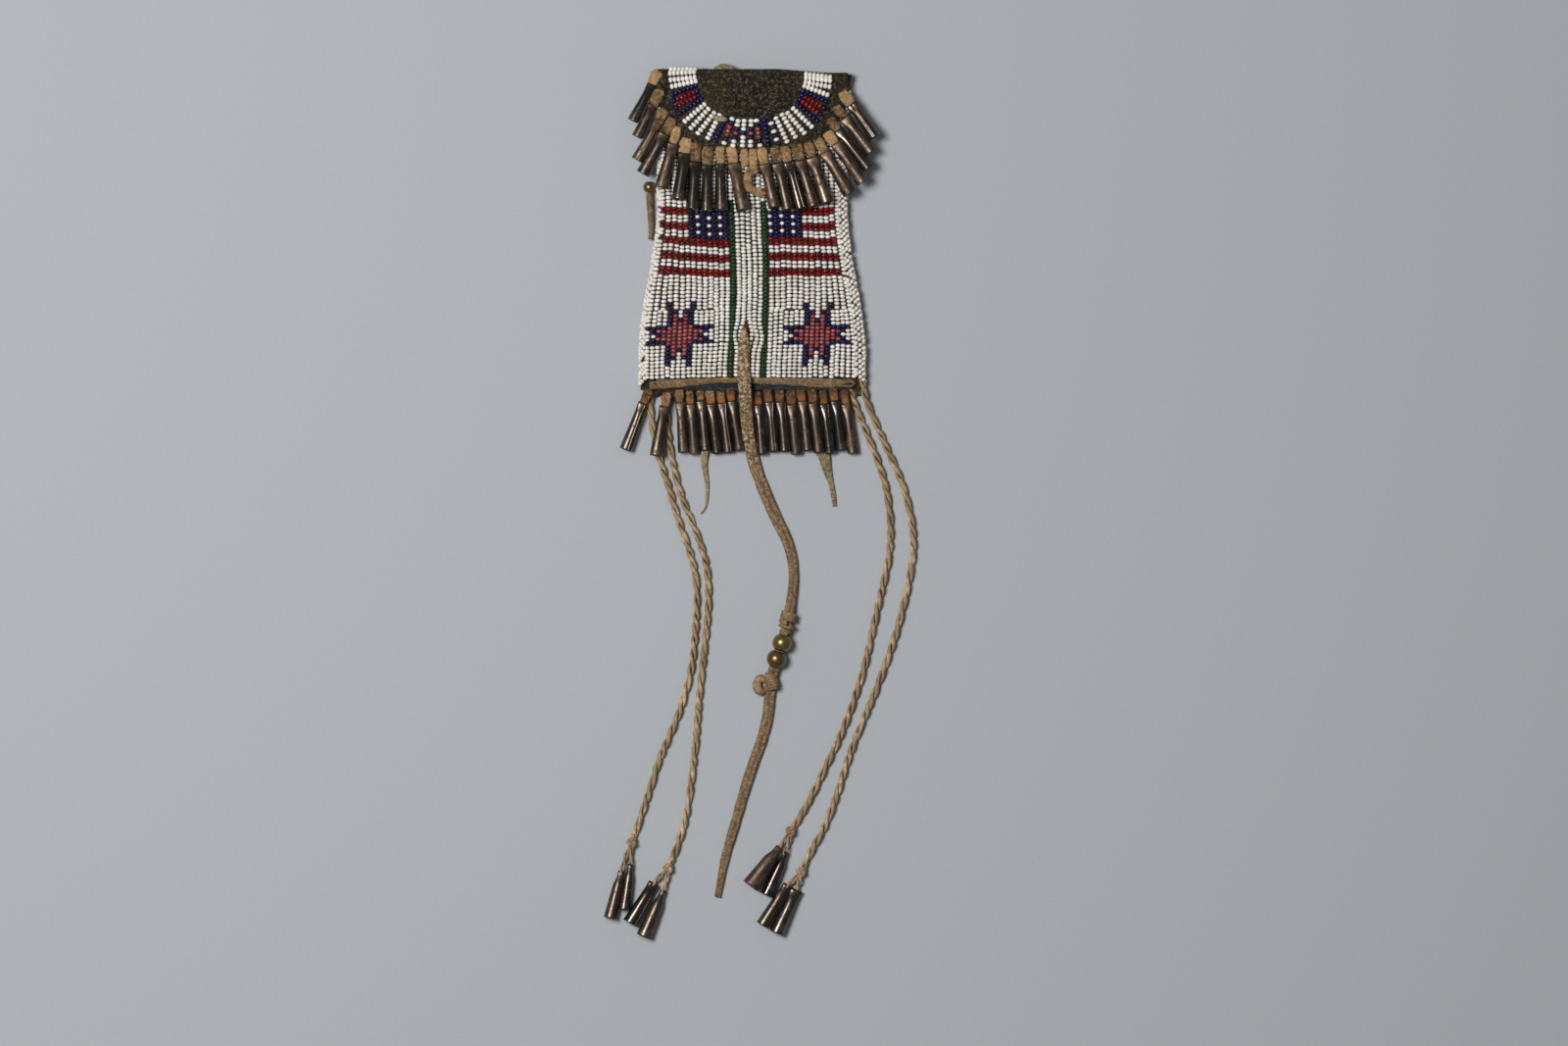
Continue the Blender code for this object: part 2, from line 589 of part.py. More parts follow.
def add_hem_and_fringe(parts, guides, paint):
    """Hem band with its tabs, the dark lining and the bottom row of cones."""
    hem = block("bottom_hem", (HEM_WIDTH, HEM_BAND, HEM_HEIGHT),
                (0, (HEM_TOP + HEM_LOW) / 2, HEM_HEIGHT / 2 + CORD_LIFT),
                paint["tan_hide"], parts)
    lining_z = HEM_TAB_Z + TAB_THICK / 2 + CLEAR + LINING_THICK / 2
    block("hem_lining", (LINING_WIDTH, LINING_BAND, LINING_THICK),
          (0, LINING_TOP - LINING_BAND / 2, lining_z), paint["lining"], parts)
    tabs = []
    for number, (top, mouth_x, mouth_z, mouth) in enumerate(fringe_places(), 1):
        lean = math.asin((mouth_x - top.x) / CONE_LENGTH)
        along = Vector((math.sin(lean), -math.cos(lean), 0))
        root = top - along * ((HEM_LOW + TAB_ROOT - top.y) / math.cos(lean))
        tabs.append(carry_tab(f"hem_tab_{number:02d}", root, top - along * (TAB_GAP / 2),
                              HEM_TAB_Z, paint["tan_hide"], guides))
        swing = top + Vector((0, 0, TAB_THICK / 2))
        cone = lay_cone(f"fringe_cone_{number:02d}", mouth, CONE_LENGTH, swing, lean,
                        HEM_TAB_Z - mouth_z, paint["tin"], parts)
        if number - len(LONE_CONES) - 1 in STRIP_CONES:
            end = top + along * CONE_LENGTH
            strip = hide_strip(f"hide_strip_{number:02d}", top + along * TAB_GAP / 2,
                               Vector((end.x, end.y, mouth_z)), paint["tan_hide"], guides)
            fuse(cone, [strip])
    fuse(hem, tabs)


def flap_edge(angle):
    """A point of the flap hide's curved edge, by its angle from the lowest point."""
    across, down = math.sin(angle), max(math.cos(angle), 0.0)
    x = TOP_WIDTH / 2 * math.copysign(abs(across) ** FLAP_ROUNDNESS, across)
    depth = FLAP_SHOULDER + (FLAP_REACH - FLAP_SHOULDER) * down ** FLAP_ROUNDNESS
    return x, TOP - depth


def add_flap(parts, guides, paint):
    """Flap hide with its tabs and cones, the half ring of beads and the curl."""
    columns, rows = 20, 4

    def flap_place(column, row):
        x, y = flap_edge(math.pi * (column / columns - 0.5))
        return x, TOP + (y - TOP) * row / rows

    hinge = Vector((0, TOP, FLAP_HINGE_Z))
    flap = add_object("flap_hide", sheet_panel(
        "flap_hide", columns, rows, flap_place,
        lambda x, y, c, r: face_height(x, y) + CLEAR + HIDE,
        lambda x, y, c, r: face_height(x, y) + CLEAR, list(range(rows + 1))),
        paint["dark_hide"], parts)
    move_origin(flap, hinge)

    ring_rows = 2

    def ring_place(column, row):
        angle = RING_HALF_SPAN * (column / FLAP_RAYS - 1)
        share = row / ring_rows
        reach_x = RING_INNER[0] + (RING_OUTER[0] - RING_INNER[0]) * share
        reach_y = RING_INNER[1] + (RING_OUTER[1] - RING_INNER[1]) * share
        return reach_x * math.sin(angle), TOP - reach_y * math.cos(angle)

    ring_floor = 2 * CLEAR + HIDE

    def ring_top(x, y, column, row):
        groove = 0.0 if column % 2 else RING_RIDGE
        return face_height(x, y) + ring_floor + RING_THICK - groove

    ring = add_object("flap_beadwork", sheet_panel(
        "flap_beadwork", 2 * FLAP_RAYS, ring_rows, ring_place, ring_top,
        lambda x, y, c, r: face_height(x, y) + ring_floor, list(range(ring_rows + 1))),
        paint["white_beads"], parts)
    move_origin(ring, hinge)

    tabs = []
    for number, (place, lean, tab, length, mouth_size) in enumerate(FLAP_CONES, 1):
        x, y = flap_edge(math.radians(place))
        along = Vector((math.sin(math.radians(lean)), -math.cos(math.radians(lean)), 0))
        edge = Vector((x, y, 0))
        top = edge + along * tab
        inner = edge - along * TAB_ROOT
        inner_x = abs(inner.x) - TAB_WIDTH / 2
        root_z = face_height(max(inner_x, 0.0), inner.y) + CLEAR + HIDE / 2
        tabs.append(carry_tab(f"flap_tab_{number:02d}", inner, top - along * (TAB_GAP / 2),
                              root_z, paint["tan_hide"], guides))
        mouth = top + along * length
        mouth_z = face_height(mouth.x, mouth.y) + LOOSE + mouth_size / 2
        top.z = root_z + TAB_THICK / 2
        lay_cone(f"flap_cone_{number:02d}", mouth_size, length, top,
                 math.radians(lean), root_z - mouth_z, paint["tin"], parts)
    fuse(flap, tabs)

    low_x, low_y = flap_edge(0.0)
    loop_z = FACE_HEIGHT + LOOSE + LOOP_DIAMETER / 2
    route = [Vector((low_x + x * MM, low_y + y * MM, loop_z)) for x, y in LOOP_ROUTE]
    tube("flap_loop", smooth_route(route, LOOP_DIAMETER), LOOP_DIAMETER / 2,
         paint["thong"], parts)


def move_origin(obj, point):
    """Sets an object's origin without moving what it shows."""
    obj.data.transform(Matrix.Translation(-point))
    obj.location = point


def ring_bead(name, outer, length, hole, place, along, material, collection):
    """A turned bead with a round belly and a straight hole."""
    half, steps = length / 2, 6
    profile = [(hole / 2, half)]
    for step in range(steps + 1):
        angle = math.pi * step / steps
        bulge = BEAD_SHOULDER + (1 - BEAD_SHOULDER) * math.sin(angle)
        profile.append((hole / 2 + (outer - hole) / 2 * bulge,
                        half * math.cos(angle)))
    profile.append((hole / 2, -half))
    bm = bmesh.new()
    verts = [bm.verts.new((x, 0, z)) for x, z in profile]
    for first, second in zip(verts, verts[1:] + verts[:1]):
        bm.edges.new((first, second))
    mesh = bpy.data.meshes.new(name)
    bm.to_mesh(mesh)
    bm.free()
    obj = add_object(name, mesh, material, collection)
    turn = obj.modifiers.new("turn", "SCREW")
    turn.steps = 16
    turn.render_steps = 16
    turn.use_merge_vertices = True
    turn.merge_threshold = 0.00001
    obj.rotation_mode = "QUATERNION"
    obj.rotation_quaternion = along.to_track_quat("Z", "Y")
    obj.location = place
    return obj


def add_tie_thong(parts, paint):
    """Flat thong from the front down between the cones, with two brass beads."""
    points = [Vector((x * MM, y * MM, z * MM)) for x, y, z in TIE_ROUTE]
    route = smooth_route(points, THONG_WIDTH)
    strap("tie_thong", route, THONG_WIDTH, THONG_THICK, paint["thong"], parts)
    fine = smooth_route(points, THONG_THICK / 4)
    for name, y in TIE_BEADS:
        index = min(range(1, len(fine) - 1), key=lambda i: abs(fine[i].y - y))
        along = (fine[index + 1] - fine[index - 1]).normalized()
        ring_bead(name, TIE_BEAD, TIE_BEAD_LENGTH, TIE_BEAD_HOLE, fine[index], along,
                  paint["brass"], parts)


def add_side_thong(parts, paint):
    """Short thong along the left side, through a small brass bead."""
    route = []
    lean_from, lean_to = SIDE_THONG_LEAN
    for step in range(SIDE_THONG_PIECES + 1):
        share = step / SIDE_THONG_PIECES
        y = SIDE_THONG_TOP + (SIDE_THONG_END - SIDE_THONG_TOP) * share
        nearer = smooth_step((share - lean_from) / (lean_to - lean_from))
        stand_off = SIDE_BEAD + (SIDE_THONG - SIDE_BEAD) * nearer
        route.append(Vector((-half_width(y) - CLEAR - stand_off / 2, y, SIDE_THONG_Z)))
    tube("side_thong", route, SIDE_THONG / 2, paint["thong"], parts)
    place = route[0].lerp(route[1], SIDE_BEAD_PLACE)
    ring_bead("side_bead", SIDE_BEAD, SIDE_BEAD_LENGTH, SIDE_BEAD_HOLE, place,
              (route[1] - route[0]).normalized(), paint["brass"], parts)


def cord_height(name, index):
    """Height of a twisted thong's middle: one starts above its neighbour."""
    rest = CORD / 2 + CORD_LIFT
    if name == "twisted_thong_right_outer":
        return rest + CORD_START_RISE * max(0.0, 1 - index / 3)
    return rest


def add_cords(parts, guides, paint):
    """Four twisted thongs on the table, each with its knot, strands and cones."""
    for name, points in CORD_ROUTES.items():
        points = [Vector((x * MM, y * MM, cord_height(name, index)))
                  for index, (x, y) in enumerate(points)]
        tube(name, smooth_route(points, CORD_STEP), CORD / 2, paint["thong"], parts)
    for name, ((knot_x, knot_y), cones) in PENDANTS.items():
        centre = Vector((knot_x * MM, knot_y * MM, KNOT / 2 + CORD_LIFT))
        bm = bmesh.new()
        bmesh.ops.create_uvsphere(bm, u_segments=10, v_segments=6, radius=KNOT / 2)
        knot = add_object(name, to_mesh(name, bm), paint["thong"], parts)
        knot.location = centre
        pieces = []
        for number, (top, mouth) in enumerate(cones, 1):
            top, mouth = (Vector((x * MM, y * MM, 0)) for x, y in (top, mouth))
            run = mouth - top
            top.z = PENDANT_MOUTH / 2 + CORD_LIFT
            lean = math.atan2(run.x, -run.y)
            cone = lay_cone(f"{name}_{number}", PENDANT_MOUTH, run.length,
                            top + Vector((0, 0, TAB_THICK / 2)), lean, 0.0, paint["tin"],
                            guides)
            inside = top + run.normalized() * STRAND_END
            strand = solid_tube(f"{name}_strand_{number}", [centre, inside], STRAND / 2,
                                paint["thong"], guides)
            pieces += [strand, cone]
        fuse(knot, pieces)


def main():
    clear_scene()
    parts = make_collection("strike_a_light_bag")
    guides = make_collection("guides")
    paint = {name: make_material(name) for name in COLOURS}
    add_pouch(parts, guides, paint)
    add_side_beading(parts, guides, paint)
    add_hem_and_fringe(parts, guides, paint)
    add_flap(parts, guides, paint)
    add_tie_thong(parts, paint)
    add_side_thong(parts, paint)
    add_cords(parts, guides, paint)


main()
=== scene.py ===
"""Looks of the beaded strike-a-light bag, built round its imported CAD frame.

Shapes are worked out in millimetres, in the frame's axes, and turned into metres
when a mesh is made. X runs to the right, Y up the bag and Z away from the table.
"""

import json
import math
import random

import bmesh
import bpy
from mathutils import Matrix, Vector, noise

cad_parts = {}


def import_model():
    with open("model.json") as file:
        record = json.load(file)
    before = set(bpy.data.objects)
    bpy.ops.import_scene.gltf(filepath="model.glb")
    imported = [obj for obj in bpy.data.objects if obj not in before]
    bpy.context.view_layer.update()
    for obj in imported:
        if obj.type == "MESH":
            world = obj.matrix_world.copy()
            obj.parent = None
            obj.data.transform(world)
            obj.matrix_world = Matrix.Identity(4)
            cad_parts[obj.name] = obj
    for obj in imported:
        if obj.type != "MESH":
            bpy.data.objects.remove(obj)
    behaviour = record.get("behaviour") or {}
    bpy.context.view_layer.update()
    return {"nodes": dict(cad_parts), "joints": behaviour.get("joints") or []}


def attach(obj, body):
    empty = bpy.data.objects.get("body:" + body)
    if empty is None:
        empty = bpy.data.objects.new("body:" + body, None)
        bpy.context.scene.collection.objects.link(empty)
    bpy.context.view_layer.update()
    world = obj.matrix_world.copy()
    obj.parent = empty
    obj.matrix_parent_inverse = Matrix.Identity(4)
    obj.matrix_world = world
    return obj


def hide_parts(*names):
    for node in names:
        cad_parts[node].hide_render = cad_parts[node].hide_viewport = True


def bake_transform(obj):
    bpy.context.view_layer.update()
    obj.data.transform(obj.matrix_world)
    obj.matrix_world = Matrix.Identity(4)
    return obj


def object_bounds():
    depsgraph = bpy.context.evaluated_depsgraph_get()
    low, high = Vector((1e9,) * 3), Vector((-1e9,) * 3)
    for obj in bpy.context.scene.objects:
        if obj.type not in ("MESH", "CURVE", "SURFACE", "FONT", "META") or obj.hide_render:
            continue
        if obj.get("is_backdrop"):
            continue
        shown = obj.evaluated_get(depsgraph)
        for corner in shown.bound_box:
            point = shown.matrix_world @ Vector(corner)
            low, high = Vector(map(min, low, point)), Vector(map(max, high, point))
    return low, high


MM = 0.001
ROOT, FLAP = "pouch", "flap"
UP = Vector((0, 0, 1))

# Camera: straight above the table, as in the photograph
PIXEL = 0.345                # millimetres across one pixel of the photograph
PHOTO_WIDTH = 1600
VIEW_CENTRE = (11.2, -104.9)
CAMERA_HEIGHT = 4000.0
SENSOR = 36.0

# Light: one soft lamp from the upper left and a dim room, in metres and watts
LAMP_PLACE, LAMP_AIM = (-0.58, 0.15, 1.47), (0.0, -0.09, 0.0)
LAMP_SIZE, LAMP_POWER = 0.5, 23.0
ROOM_COLOUR, ROOM_STRENGTH = (0.94, 0.97, 1.0, 1), 0.17
FLOOR_REACH, FLOOR_LEVEL = 3000, -0.02     # in millimetres

# Pouch
TOP, BOTTOM = 54.0, -54.0
HALF_TOP, HALF_BOTTOM = 33.8, 40.2
FLARE_START, FLARE_END = 47.0, 99.0      # how far below the top the sides spread
FACE_HEIGHT, EDGE_DROP = 8.0, 3.2        # height in the middle, and how much lower at a side
FRONT_TOP = 48.0             # where the front and its beads end, under the flap
HIDE, FLAP_HIDE = 0.8, 0.85  # thicknesses
BACK_FACE = 0.9              # upper side of the back hide

# Bottom hem: the upper and lower border of its strip, X and Y from right to left
HEM_TOP_LINE = [(37, -54.6), (20, -53.6), (4, -53.3), (-10, -53.5), (-25, -54.3), (-37, -55.3)]
HEM_LOW_LINE = [(37, -57.2), (25, -57.3), (12, -56.6), (-2, -55.7), (-14, -56.0), (-22, -56.9),
                (-37, -58.3)]

# Front beadwork
BEAD_PITCH = 1.333
BEAD_WIDTHS = {"white": 1.95, "navy": 2.02, "red": 2.04, "rose": 1.96, "green": 1.78}
DOT_SHARE = 0.81             # how wide the white beads among the navy ones are
MIDDLE_SHARE = 0.97          # how wide the beads between the poles are for their pitch
MIDDLE_X = -1.9              # the middle string
POLE_REACH = 5.75            # from the middle to each green pole
BOW = 1.1                    # how far the strings bow to the right half way down
BOW_TOP, BOW_LENGTH = 9, 60
PARTING_Y, PARTING_LENGTH, PARTING_WIDTH = -39.6, 3.4, 1.15   # round the tie thong
LEFT_PITCH, RIGHT_PITCH = 1.98, 2.03     # from string to string beside the poles
LOW_PITCH, LOW_LANE = 1.84, 7            # the same from this lane down
LANE_BEADS, LANES = 9, 9
FIRST_ROW = 5                # rows above it would lie in the fold
LAST_COLUMN = 21             # no lane has more strings than this on either side
EASED = 5                    # so many outer strings spread to meet the side rows
LANE_HUMP = 0.5              # how far a string stands up between two stitches
LEFT_LEAN_X = -22.0          # rows at the left turn about this place by these slopes
LEFT_LEAN = [(8, 0.0), (-5, -0.09), (-16, -0.06), (-27, 0.02), (-36, 0.062), (-54, 0.02)]
EDGE_ROW_PITCH, EDGE_BEAD_PITCH = 1.87, 1.24 * BEAD_PITCH
LEFT_BAND = (1.8, 2.7)       # width of the edge rows at the top and at the bottom
RIGHT_BAND = (3.4, 3.9)
LEFT_GAP, LEFT_GAP_ROW = 1.3, 50         # the last rows at the left lie so much lower
BULGE, BULGE_Y, BULGE_LENGTH = 1.9, 45.5, 3.0        # at the top of the right side

# Pattern, in columns from the middle string and rows from the top
POLE_COLUMN, POLE_TOP = 3, 34
FLAG_ROWS, FLAG_LAST = (36, 53), 15
CANTON_ROWS, LEFT_CANTON, RIGHT_CANTON = 8, 10, 9
STAR_COLUMN, STAR_ROW = 13, 69

# Flap
FLAP_REACH, FLAP_SHOULDER, FLAP_ROUNDNESS = 29.0, 2.0, 0.92
FLAP_FULLER = 0.05           # how much fuller than a half ellipse it is
FLAP_LIFT = 1.3              # the flap's upper face above the pouch's
FOLD_Y, FOLD_SLOPE = 54.5, 1.4           # the fold, and how much lower it is at the right
RING_CENTRE = (-0.6, 54.0)
RING_INNER, RING_OUTER = (19.0, 17.1), (28.9, 27.3)      # reach sideways and down
RING_SQUARE = 0.06           # how much fuller than an ellipse it is
RING_BEADS = 7               # beads in a row
RING_STEPS = (6.38, 5.1)     # degrees from row to row, in the middle and at the ends
RING_STEP_ROWS = (8.5, 15.15)    # to which row from the middle each step holds
RING_TURN = -2.75            # degrees that the whole ring is turned
RING_PITCH = 1.45            # from bead to bead in a row
RING_WIDTHS = {"white": 2.08, "navy": 1.86, "red": 1.86, "rose": 1.82}

# Cones and tabs
TAB_THICK = 1.7
FLAP_TAB, HEM_TAB = (5.2, 3.75), (4.9, 3.1)      # length and width
TAB_TUCK = 0.4               # how far a tab reaches into its cone
CONE_REACH = 17.3            # longest cone that a hinged node holds
RIM_DEPTH = 0.9              # the part of a node that counts as its mouth
CONE_TOP_LIFT = -0.4         # how much higher than its hinge a rolled cone starts
SECOND_LIFT = 0.45           # every second fringe cone starts so much higher again
FRINGE_LONGER = 0.9          # rolled fringe cones reach past their CAD solids by this much
CONE_PROFILE = [
    # share of the length, width, height, and how square the section is
    (0.0, 0.92, 0.25, 0.7), (0.05, 0.93, 0.26, 0.7), (0.11, 0.91, 0.32, 0.75),
    (0.17, 0.85, 0.47, 0.85), (0.24, 0.79, 0.62, 0.95), (0.32, 0.77, 0.71, 1.0),
    (0.45, 0.80, 0.78, 1.0), (0.6, 0.86, 0.85, 1.0), (0.8, 0.94, 0.94, 1.0),
    (0.97, 1.0, 1.0, 1.0), (1.0, 1.02, 1.02, 1.0),
]
CRIMP_END, CRIMP_EASE = 0.08, 0.26       # shares of the length on which its width counts
LAP_TURN, LAP_STEPS = 0.5, 22    # the overlap in radians, and corners round the sheet
TIN = 0.2                    # thickness of the sheet, and how far its lap stands out
TAB_SIZES = [                # a tab's width and thickness at even steps along it
    (0.72, 0.45), (0.9, 0.75), (1.0, 0.95), (1.04, 1.02), (1.04, 1.05), (1.0, 1.04),
    (0.97, 1.0), (0.92, 0.9), (0.86, 0.75), (0.78, 0.5),
]
STRIP_THICK = 0.6
STRIPS = {                   # X, Y and width along each strip, from its cone's mouth
    "fringe_cone_05": [(0.1, 0.0, 2.2), (-0.5, -1.4, 2.4), (-0.5, -5.9, 2.0),
                       (0.4, -12.0, 1.45), (0.3, -18.0, 0.95), (-0.4, -20.6, 0.7),
                       (-1.8, -22.4, 0.5)],
    "fringe_cone_14": [(0.3, 0.0, 3.2), (1.7, -1.5, 4.2), (2.7, -5.5, 3.4), (4.2, -11.0, 1.95),
                       (5.0, -15.0, 1.8), (5.5, -19.0, 1.5)],
}

# Thongs: the same routes as the CAD solids
CORD = 2.7                   # thickness of a twisted thong
CORD_STEP = 7.0              # from point to point along its CAD solid
CORD_LIFT = 0.05             # how far it lies above the table
CORD_LAY = 10.4              # length of one full turn of the two plies
PLY_SHARE, PLY_SIDES = 0.262, 10     # a ply's radius by the thong's thickness, and its corners
KNOT_HEIGHT, PENDANT_HEIGHT = 2.1, 2.3
START_RISE = 1.6             # how much higher the right outer one starts
CORD_ROUTES = {              # X and Y of each twisted thong
    "left_outer": [
        (-35.4, -57.6), (-36.0, -61.6), (-35.5, -67.1), (-34.7, -73.0), (-32.4, -82.8),
        (-29.6, -91.6), (-27.0, -100.6), (-24.3, -108.8), (-22.0, -115.0), (-20.4, -121.3),
        (-19.5, -128.0), (-19.5, -134.5), (-19.9, -141.3), (-20.4, -147.5), (-21.1, -154.0),
        (-22.1, -159.2), (-23.5, -164.7), (-25.2, -169.9), (-27.1, -175.0), (-29.3, -180.2),
        (-31.6, -185.4), (-33.5, -190.3), (-35.0, -195.4), (-36.7, -200.6), (-38.5, -205.8),
        (-40.0, -210.9), (-41.5, -214.6),
    ],
    "left_inner": [
        (-30.4, -57.6), (-29.9, -65.4), (-29.5, -73.0), (-28.6, -80.2), (-26.2, -91.0),
        (-23.0, -100.6), (-20.0, -107.6), (-17.5, -114.7), (-15.9, -121.5), (-15.4, -129.2),
        (-15.6, -136.4), (-16.4, -144.4), (-17.3, -153.4), (-18.1, -160.6), (-18.8, -167.8),
        (-19.4, -175.4), (-20.0, -183.0), (-20.9, -190.8), (-21.9, -199.0), (-23.0, -206.5),
        (-24.6, -213.2), (-26.8, -219.6), (-28.3, -223.6),
    ],
    "right_inner": [
        (34.5, -57.7), (35.8, -61.8), (37.0, -65.2), (38.4, -68.8), (40.2, -73.2),
        (42.0, -77.6), (43.6, -81.8), (45.2, -86.2), (46.8, -91.6), (48.0, -98.8),
        (48.7, -107.5), (48.1, -116.1), (46.9, -122.8), (45.4, -129.0), (44.0, -135.2),
        (42.6, -141.5), (41.2, -147.7), (39.8, -154.0), (38.1, -160.0), (36.4, -165.3),
        (34.6, -170.3), (32.9, -175.2), (30.8, -180.2), (28.5, -185.2), (26.0, -190.3),
        (23.5, -195.6), (20.9, -200.8), (18.3, -205.6), (16.0, -209.4), (14.9, -211.2),
    ],
    "right_outer": [
        (38.8, -54.4), (39.2, -58.2), (40.4, -62.4), (42.1, -66.6), (44.2, -71.4),
        (46.3, -76.2), (48.4, -81.0), (50.5, -85.6), (52.4, -90.2), (54.2, -95.8),
        (55.5, -101.4), (56.5, -107.5), (56.7, -113.6), (55.9, -120.6), (54.4, -129.0),
        (52.5, -136.6), (50.5, -144.0), (48.2, -151.0), (45.8, -157.6), (43.4, -163.8),
        (40.9, -169.9), (38.4, -175.8), (36.0, -181.6), (33.9, -187.6), (31.9, -193.8),
        (29.9, -200.0), (27.8, -206.0), (25.5, -211.6), (22.9, -216.6), (20.2, -221.2),
        (18.4, -225.0),
    ],
}
TIE_WIDTH, TIE_THICK = 3.8, 1.6
TIE_WIDTHS = [               # Y and width there
    (-36, 0.9), (-37.4, 2.3), (-40, 3.2), (-46, 4.1), (-60, 4.5), (-100, 4.2), (-122, 3.5),
    (-140, 3.5), (-165, 3.9), (-195, 3.8), (-215, 3.3), (-237, 2.2),
]
TIE_LIFT = 0.26              # how far the strap lies above its CAD route
TIE_ROUTE = [
    (-2.8, -36.1, 8.9), (-2.9, -42.3, 9.0), (-3.0, -48.5, 9.0), (-2.7, -54.5, 8.8),
    (-2.4, -60.0, 7.9), (-2.1, -66.0, 6.0), (-1.6, -71.5, 3.7), (-0.8, -77.0, 1.8),
    (0.4, -82.5, 0.8), (2.2, -88.3, 0.7), (5.3, -96.1, 0.7), (8.8, -104.0, 0.7),
    (12.2, -111.0, 0.7), (14.2, -118.5, 0.7), (14.5, -126.0, 0.9), (13.6, -132.5, 1.7),
    (12.4, -139.5, 3.0), (10.6, -147.0, 3.55), (8.5, -152.9, 3.5), (7.0, -159.0, 2.0),
    (6.2, -165.1, 0.9), (5.4, -173.0, 0.7), (3.4, -181.0, 0.7), (0.2, -190.0, 0.7),
    (-3.0, -200.0, 0.7), (-6.0, -210.6, 0.7), (-9.5, -222.7, 0.7), (-12.2, -236.5, 0.7),
]
TIE_WRAPS = [
    # Y, lean to the right, then radius, turns, pitch, width, thickness, start and tone
    (-138.3, 0.0, 2.35, 2.2, 1.5, 1.7, 1.1, 0.4, 0.9),
    (-141.4, 0.0, 2.4, 1.3, 0.6, 1.0, 1.0, 2.0, 1.3),
    (-143.6, 0.0, 1.65, 1.2, 0.9, 1.4, 0.8, 1.0, 0.5),
    (-160.2, 0.5, 1.9, 6.2, 0.95, 0.95, 0.9, 1.0, 1.0),
]
BRASS_BEAD = 6.9             # width of the tie thong's beads

# What hangs at each twisted thong's end: its knot, then for each cone the middle of its
# top and of its mouth and how wide both are
PENDANTS = {
    "left_outer": ((-42.3, -217.2), [((-46.0, -227.3), (-49.9, -243.9), 1.9, 4.5),
                                     ((-42.6, -224.9), (-45.0, -240.9), 1.6, 4.1)]),
    "left_inner": ((-29.5, -226.3), [((-34.7, -231.4), (-43.1, -245.6), 3.6, 5.0),
                                     ((-31.2, -234.2), (-38.2, -250.4), 1.8, 5.2)]),
    "right_inner": ((13.6, -213.3), [((9.6, -218.9), (-0.7, -232.5), 2.4, 6.0),
                                     ((11.9, -220.6), (5.0, -235.8), 1.6, 4.4)]),
    "right_outer": ((17.3, -227.5), [((12.4, -232.0), (3.6, -246.4), 2.6, 4.4),
                                     ((15.6, -233.8), (8.5, -249.2), 4.0, 5.0)]),
}


# Colours
SUEDES = {
    # dark, light and speck colours, share of specks, size of patches, pull of a piece's own
    # tone, and a warmer colour for some patches
    "tan_suede": ((0.15, 0.088, 0.04), (0.36, 0.245, 0.13), (0.52, 0.40, 0.25)),
    "tab_suede": ((0.075, 0.040, 0.015), (0.46, 0.285, 0.135), (0.58, 0.41, 0.23), 0.25, 7.0, 0.8),
    "thong_suede": ((0.13, 0.078, 0.034), (0.33, 0.22, 0.115), (0.56, 0.44, 0.29), 0.5, 6.0),
    "dark_suede": ((0.006, 0.005, 0.003), (0.027, 0.0225, 0.0125), (0.135, 0.11, 0.066), 0.95,
                   12.0, 0.35, (0.034, 0.022, 0.0095)),
    "shaded_suede": ((0.026, 0.020, 0.011), (0.12, 0.093, 0.055), (0.22, 0.18, 0.12), 0.5),
    "pale_suede": ((0.15, 0.112, 0.056), (0.42, 0.345, 0.20), (0.56, 0.475, 0.31), 0.35, 5.0, 0.5),
    # Backing hide seen between the front beads: its own dark brown, darkened further as painted
    # shade in the gaps.
    "backing_with_gap_shade": ((0.027, 0.017, 0.009), (0.07, 0.044, 0.022), (0.17, 0.12, 0.066)),
    "dark_cloth": ((0.016, 0.0175, 0.019), (0.048, 0.052, 0.055), (0.10, 0.108, 0.115)),
}
GLASSES = {                  # dark and light colour, and roughness
    "white": ((0.74, 0.685, 0.605), (0.9, 0.885, 0.845), 0.2),
    "navy": ((0.004, 0.003, 0.032), (0.009, 0.007, 0.095), 0.07),
    "red": ((0.11, 0.002, 0.004), (0.29, 0.006, 0.011), 0.07),
    "rose": ((0.23, 0.038, 0.048), (0.42, 0.108, 0.118), 0.2),
    "green": ((0.002, 0.028, 0.009), (0.008, 0.078, 0.024), 0.07),
}


# Nodes

class Signal:
    """A node's output. Arithmetic on it adds math nodes to its shader."""

    def __init__(self, graph, socket):
        self.graph, self.socket = graph, socket

    def __add__(self, other):
        return self.graph.math("ADD", self, other)

    def __sub__(self, other):
        return self.graph.math("SUBTRACT", self, other)

    def __mul__(self, other):
        return self.graph.math("MULTIPLY", self, other)

    __radd__, __rmul__ = __add__, __mul__

    def __rsub__(self, other):
        return self.graph.math("SUBTRACT", other, self)

    def rise(self, low, high):
        """From 0 at low to 1 at high, smoothly."""
        return self.graph.node("ShaderNodeMapRange", {"Value": self, "From Min": low,
                                                      "From Max": high},
                               interpolation_type="SMOOTHSTEP")


class Graph:
    """A tree of nodes. What feeds an input is a value or another node's signal."""

    def __init__(self, tree):
        self.tree = tree

    def feed(self, socket, value):
        if isinstance(value, Signal):
            self.tree.links.new(value.socket, socket)
        else:
            socket.default_value = (*value, 1.0) if socket.type == "RGBA" else value

    def node(self, kind, inputs, output=0, **settings):
        made = self.tree.nodes.new(kind)
        for key, value in settings.items():
            setattr(made, key, value)
        for key, value in inputs.items():
            self.feed(made.inputs[key], value)
        return Signal(self, made.outputs[output])


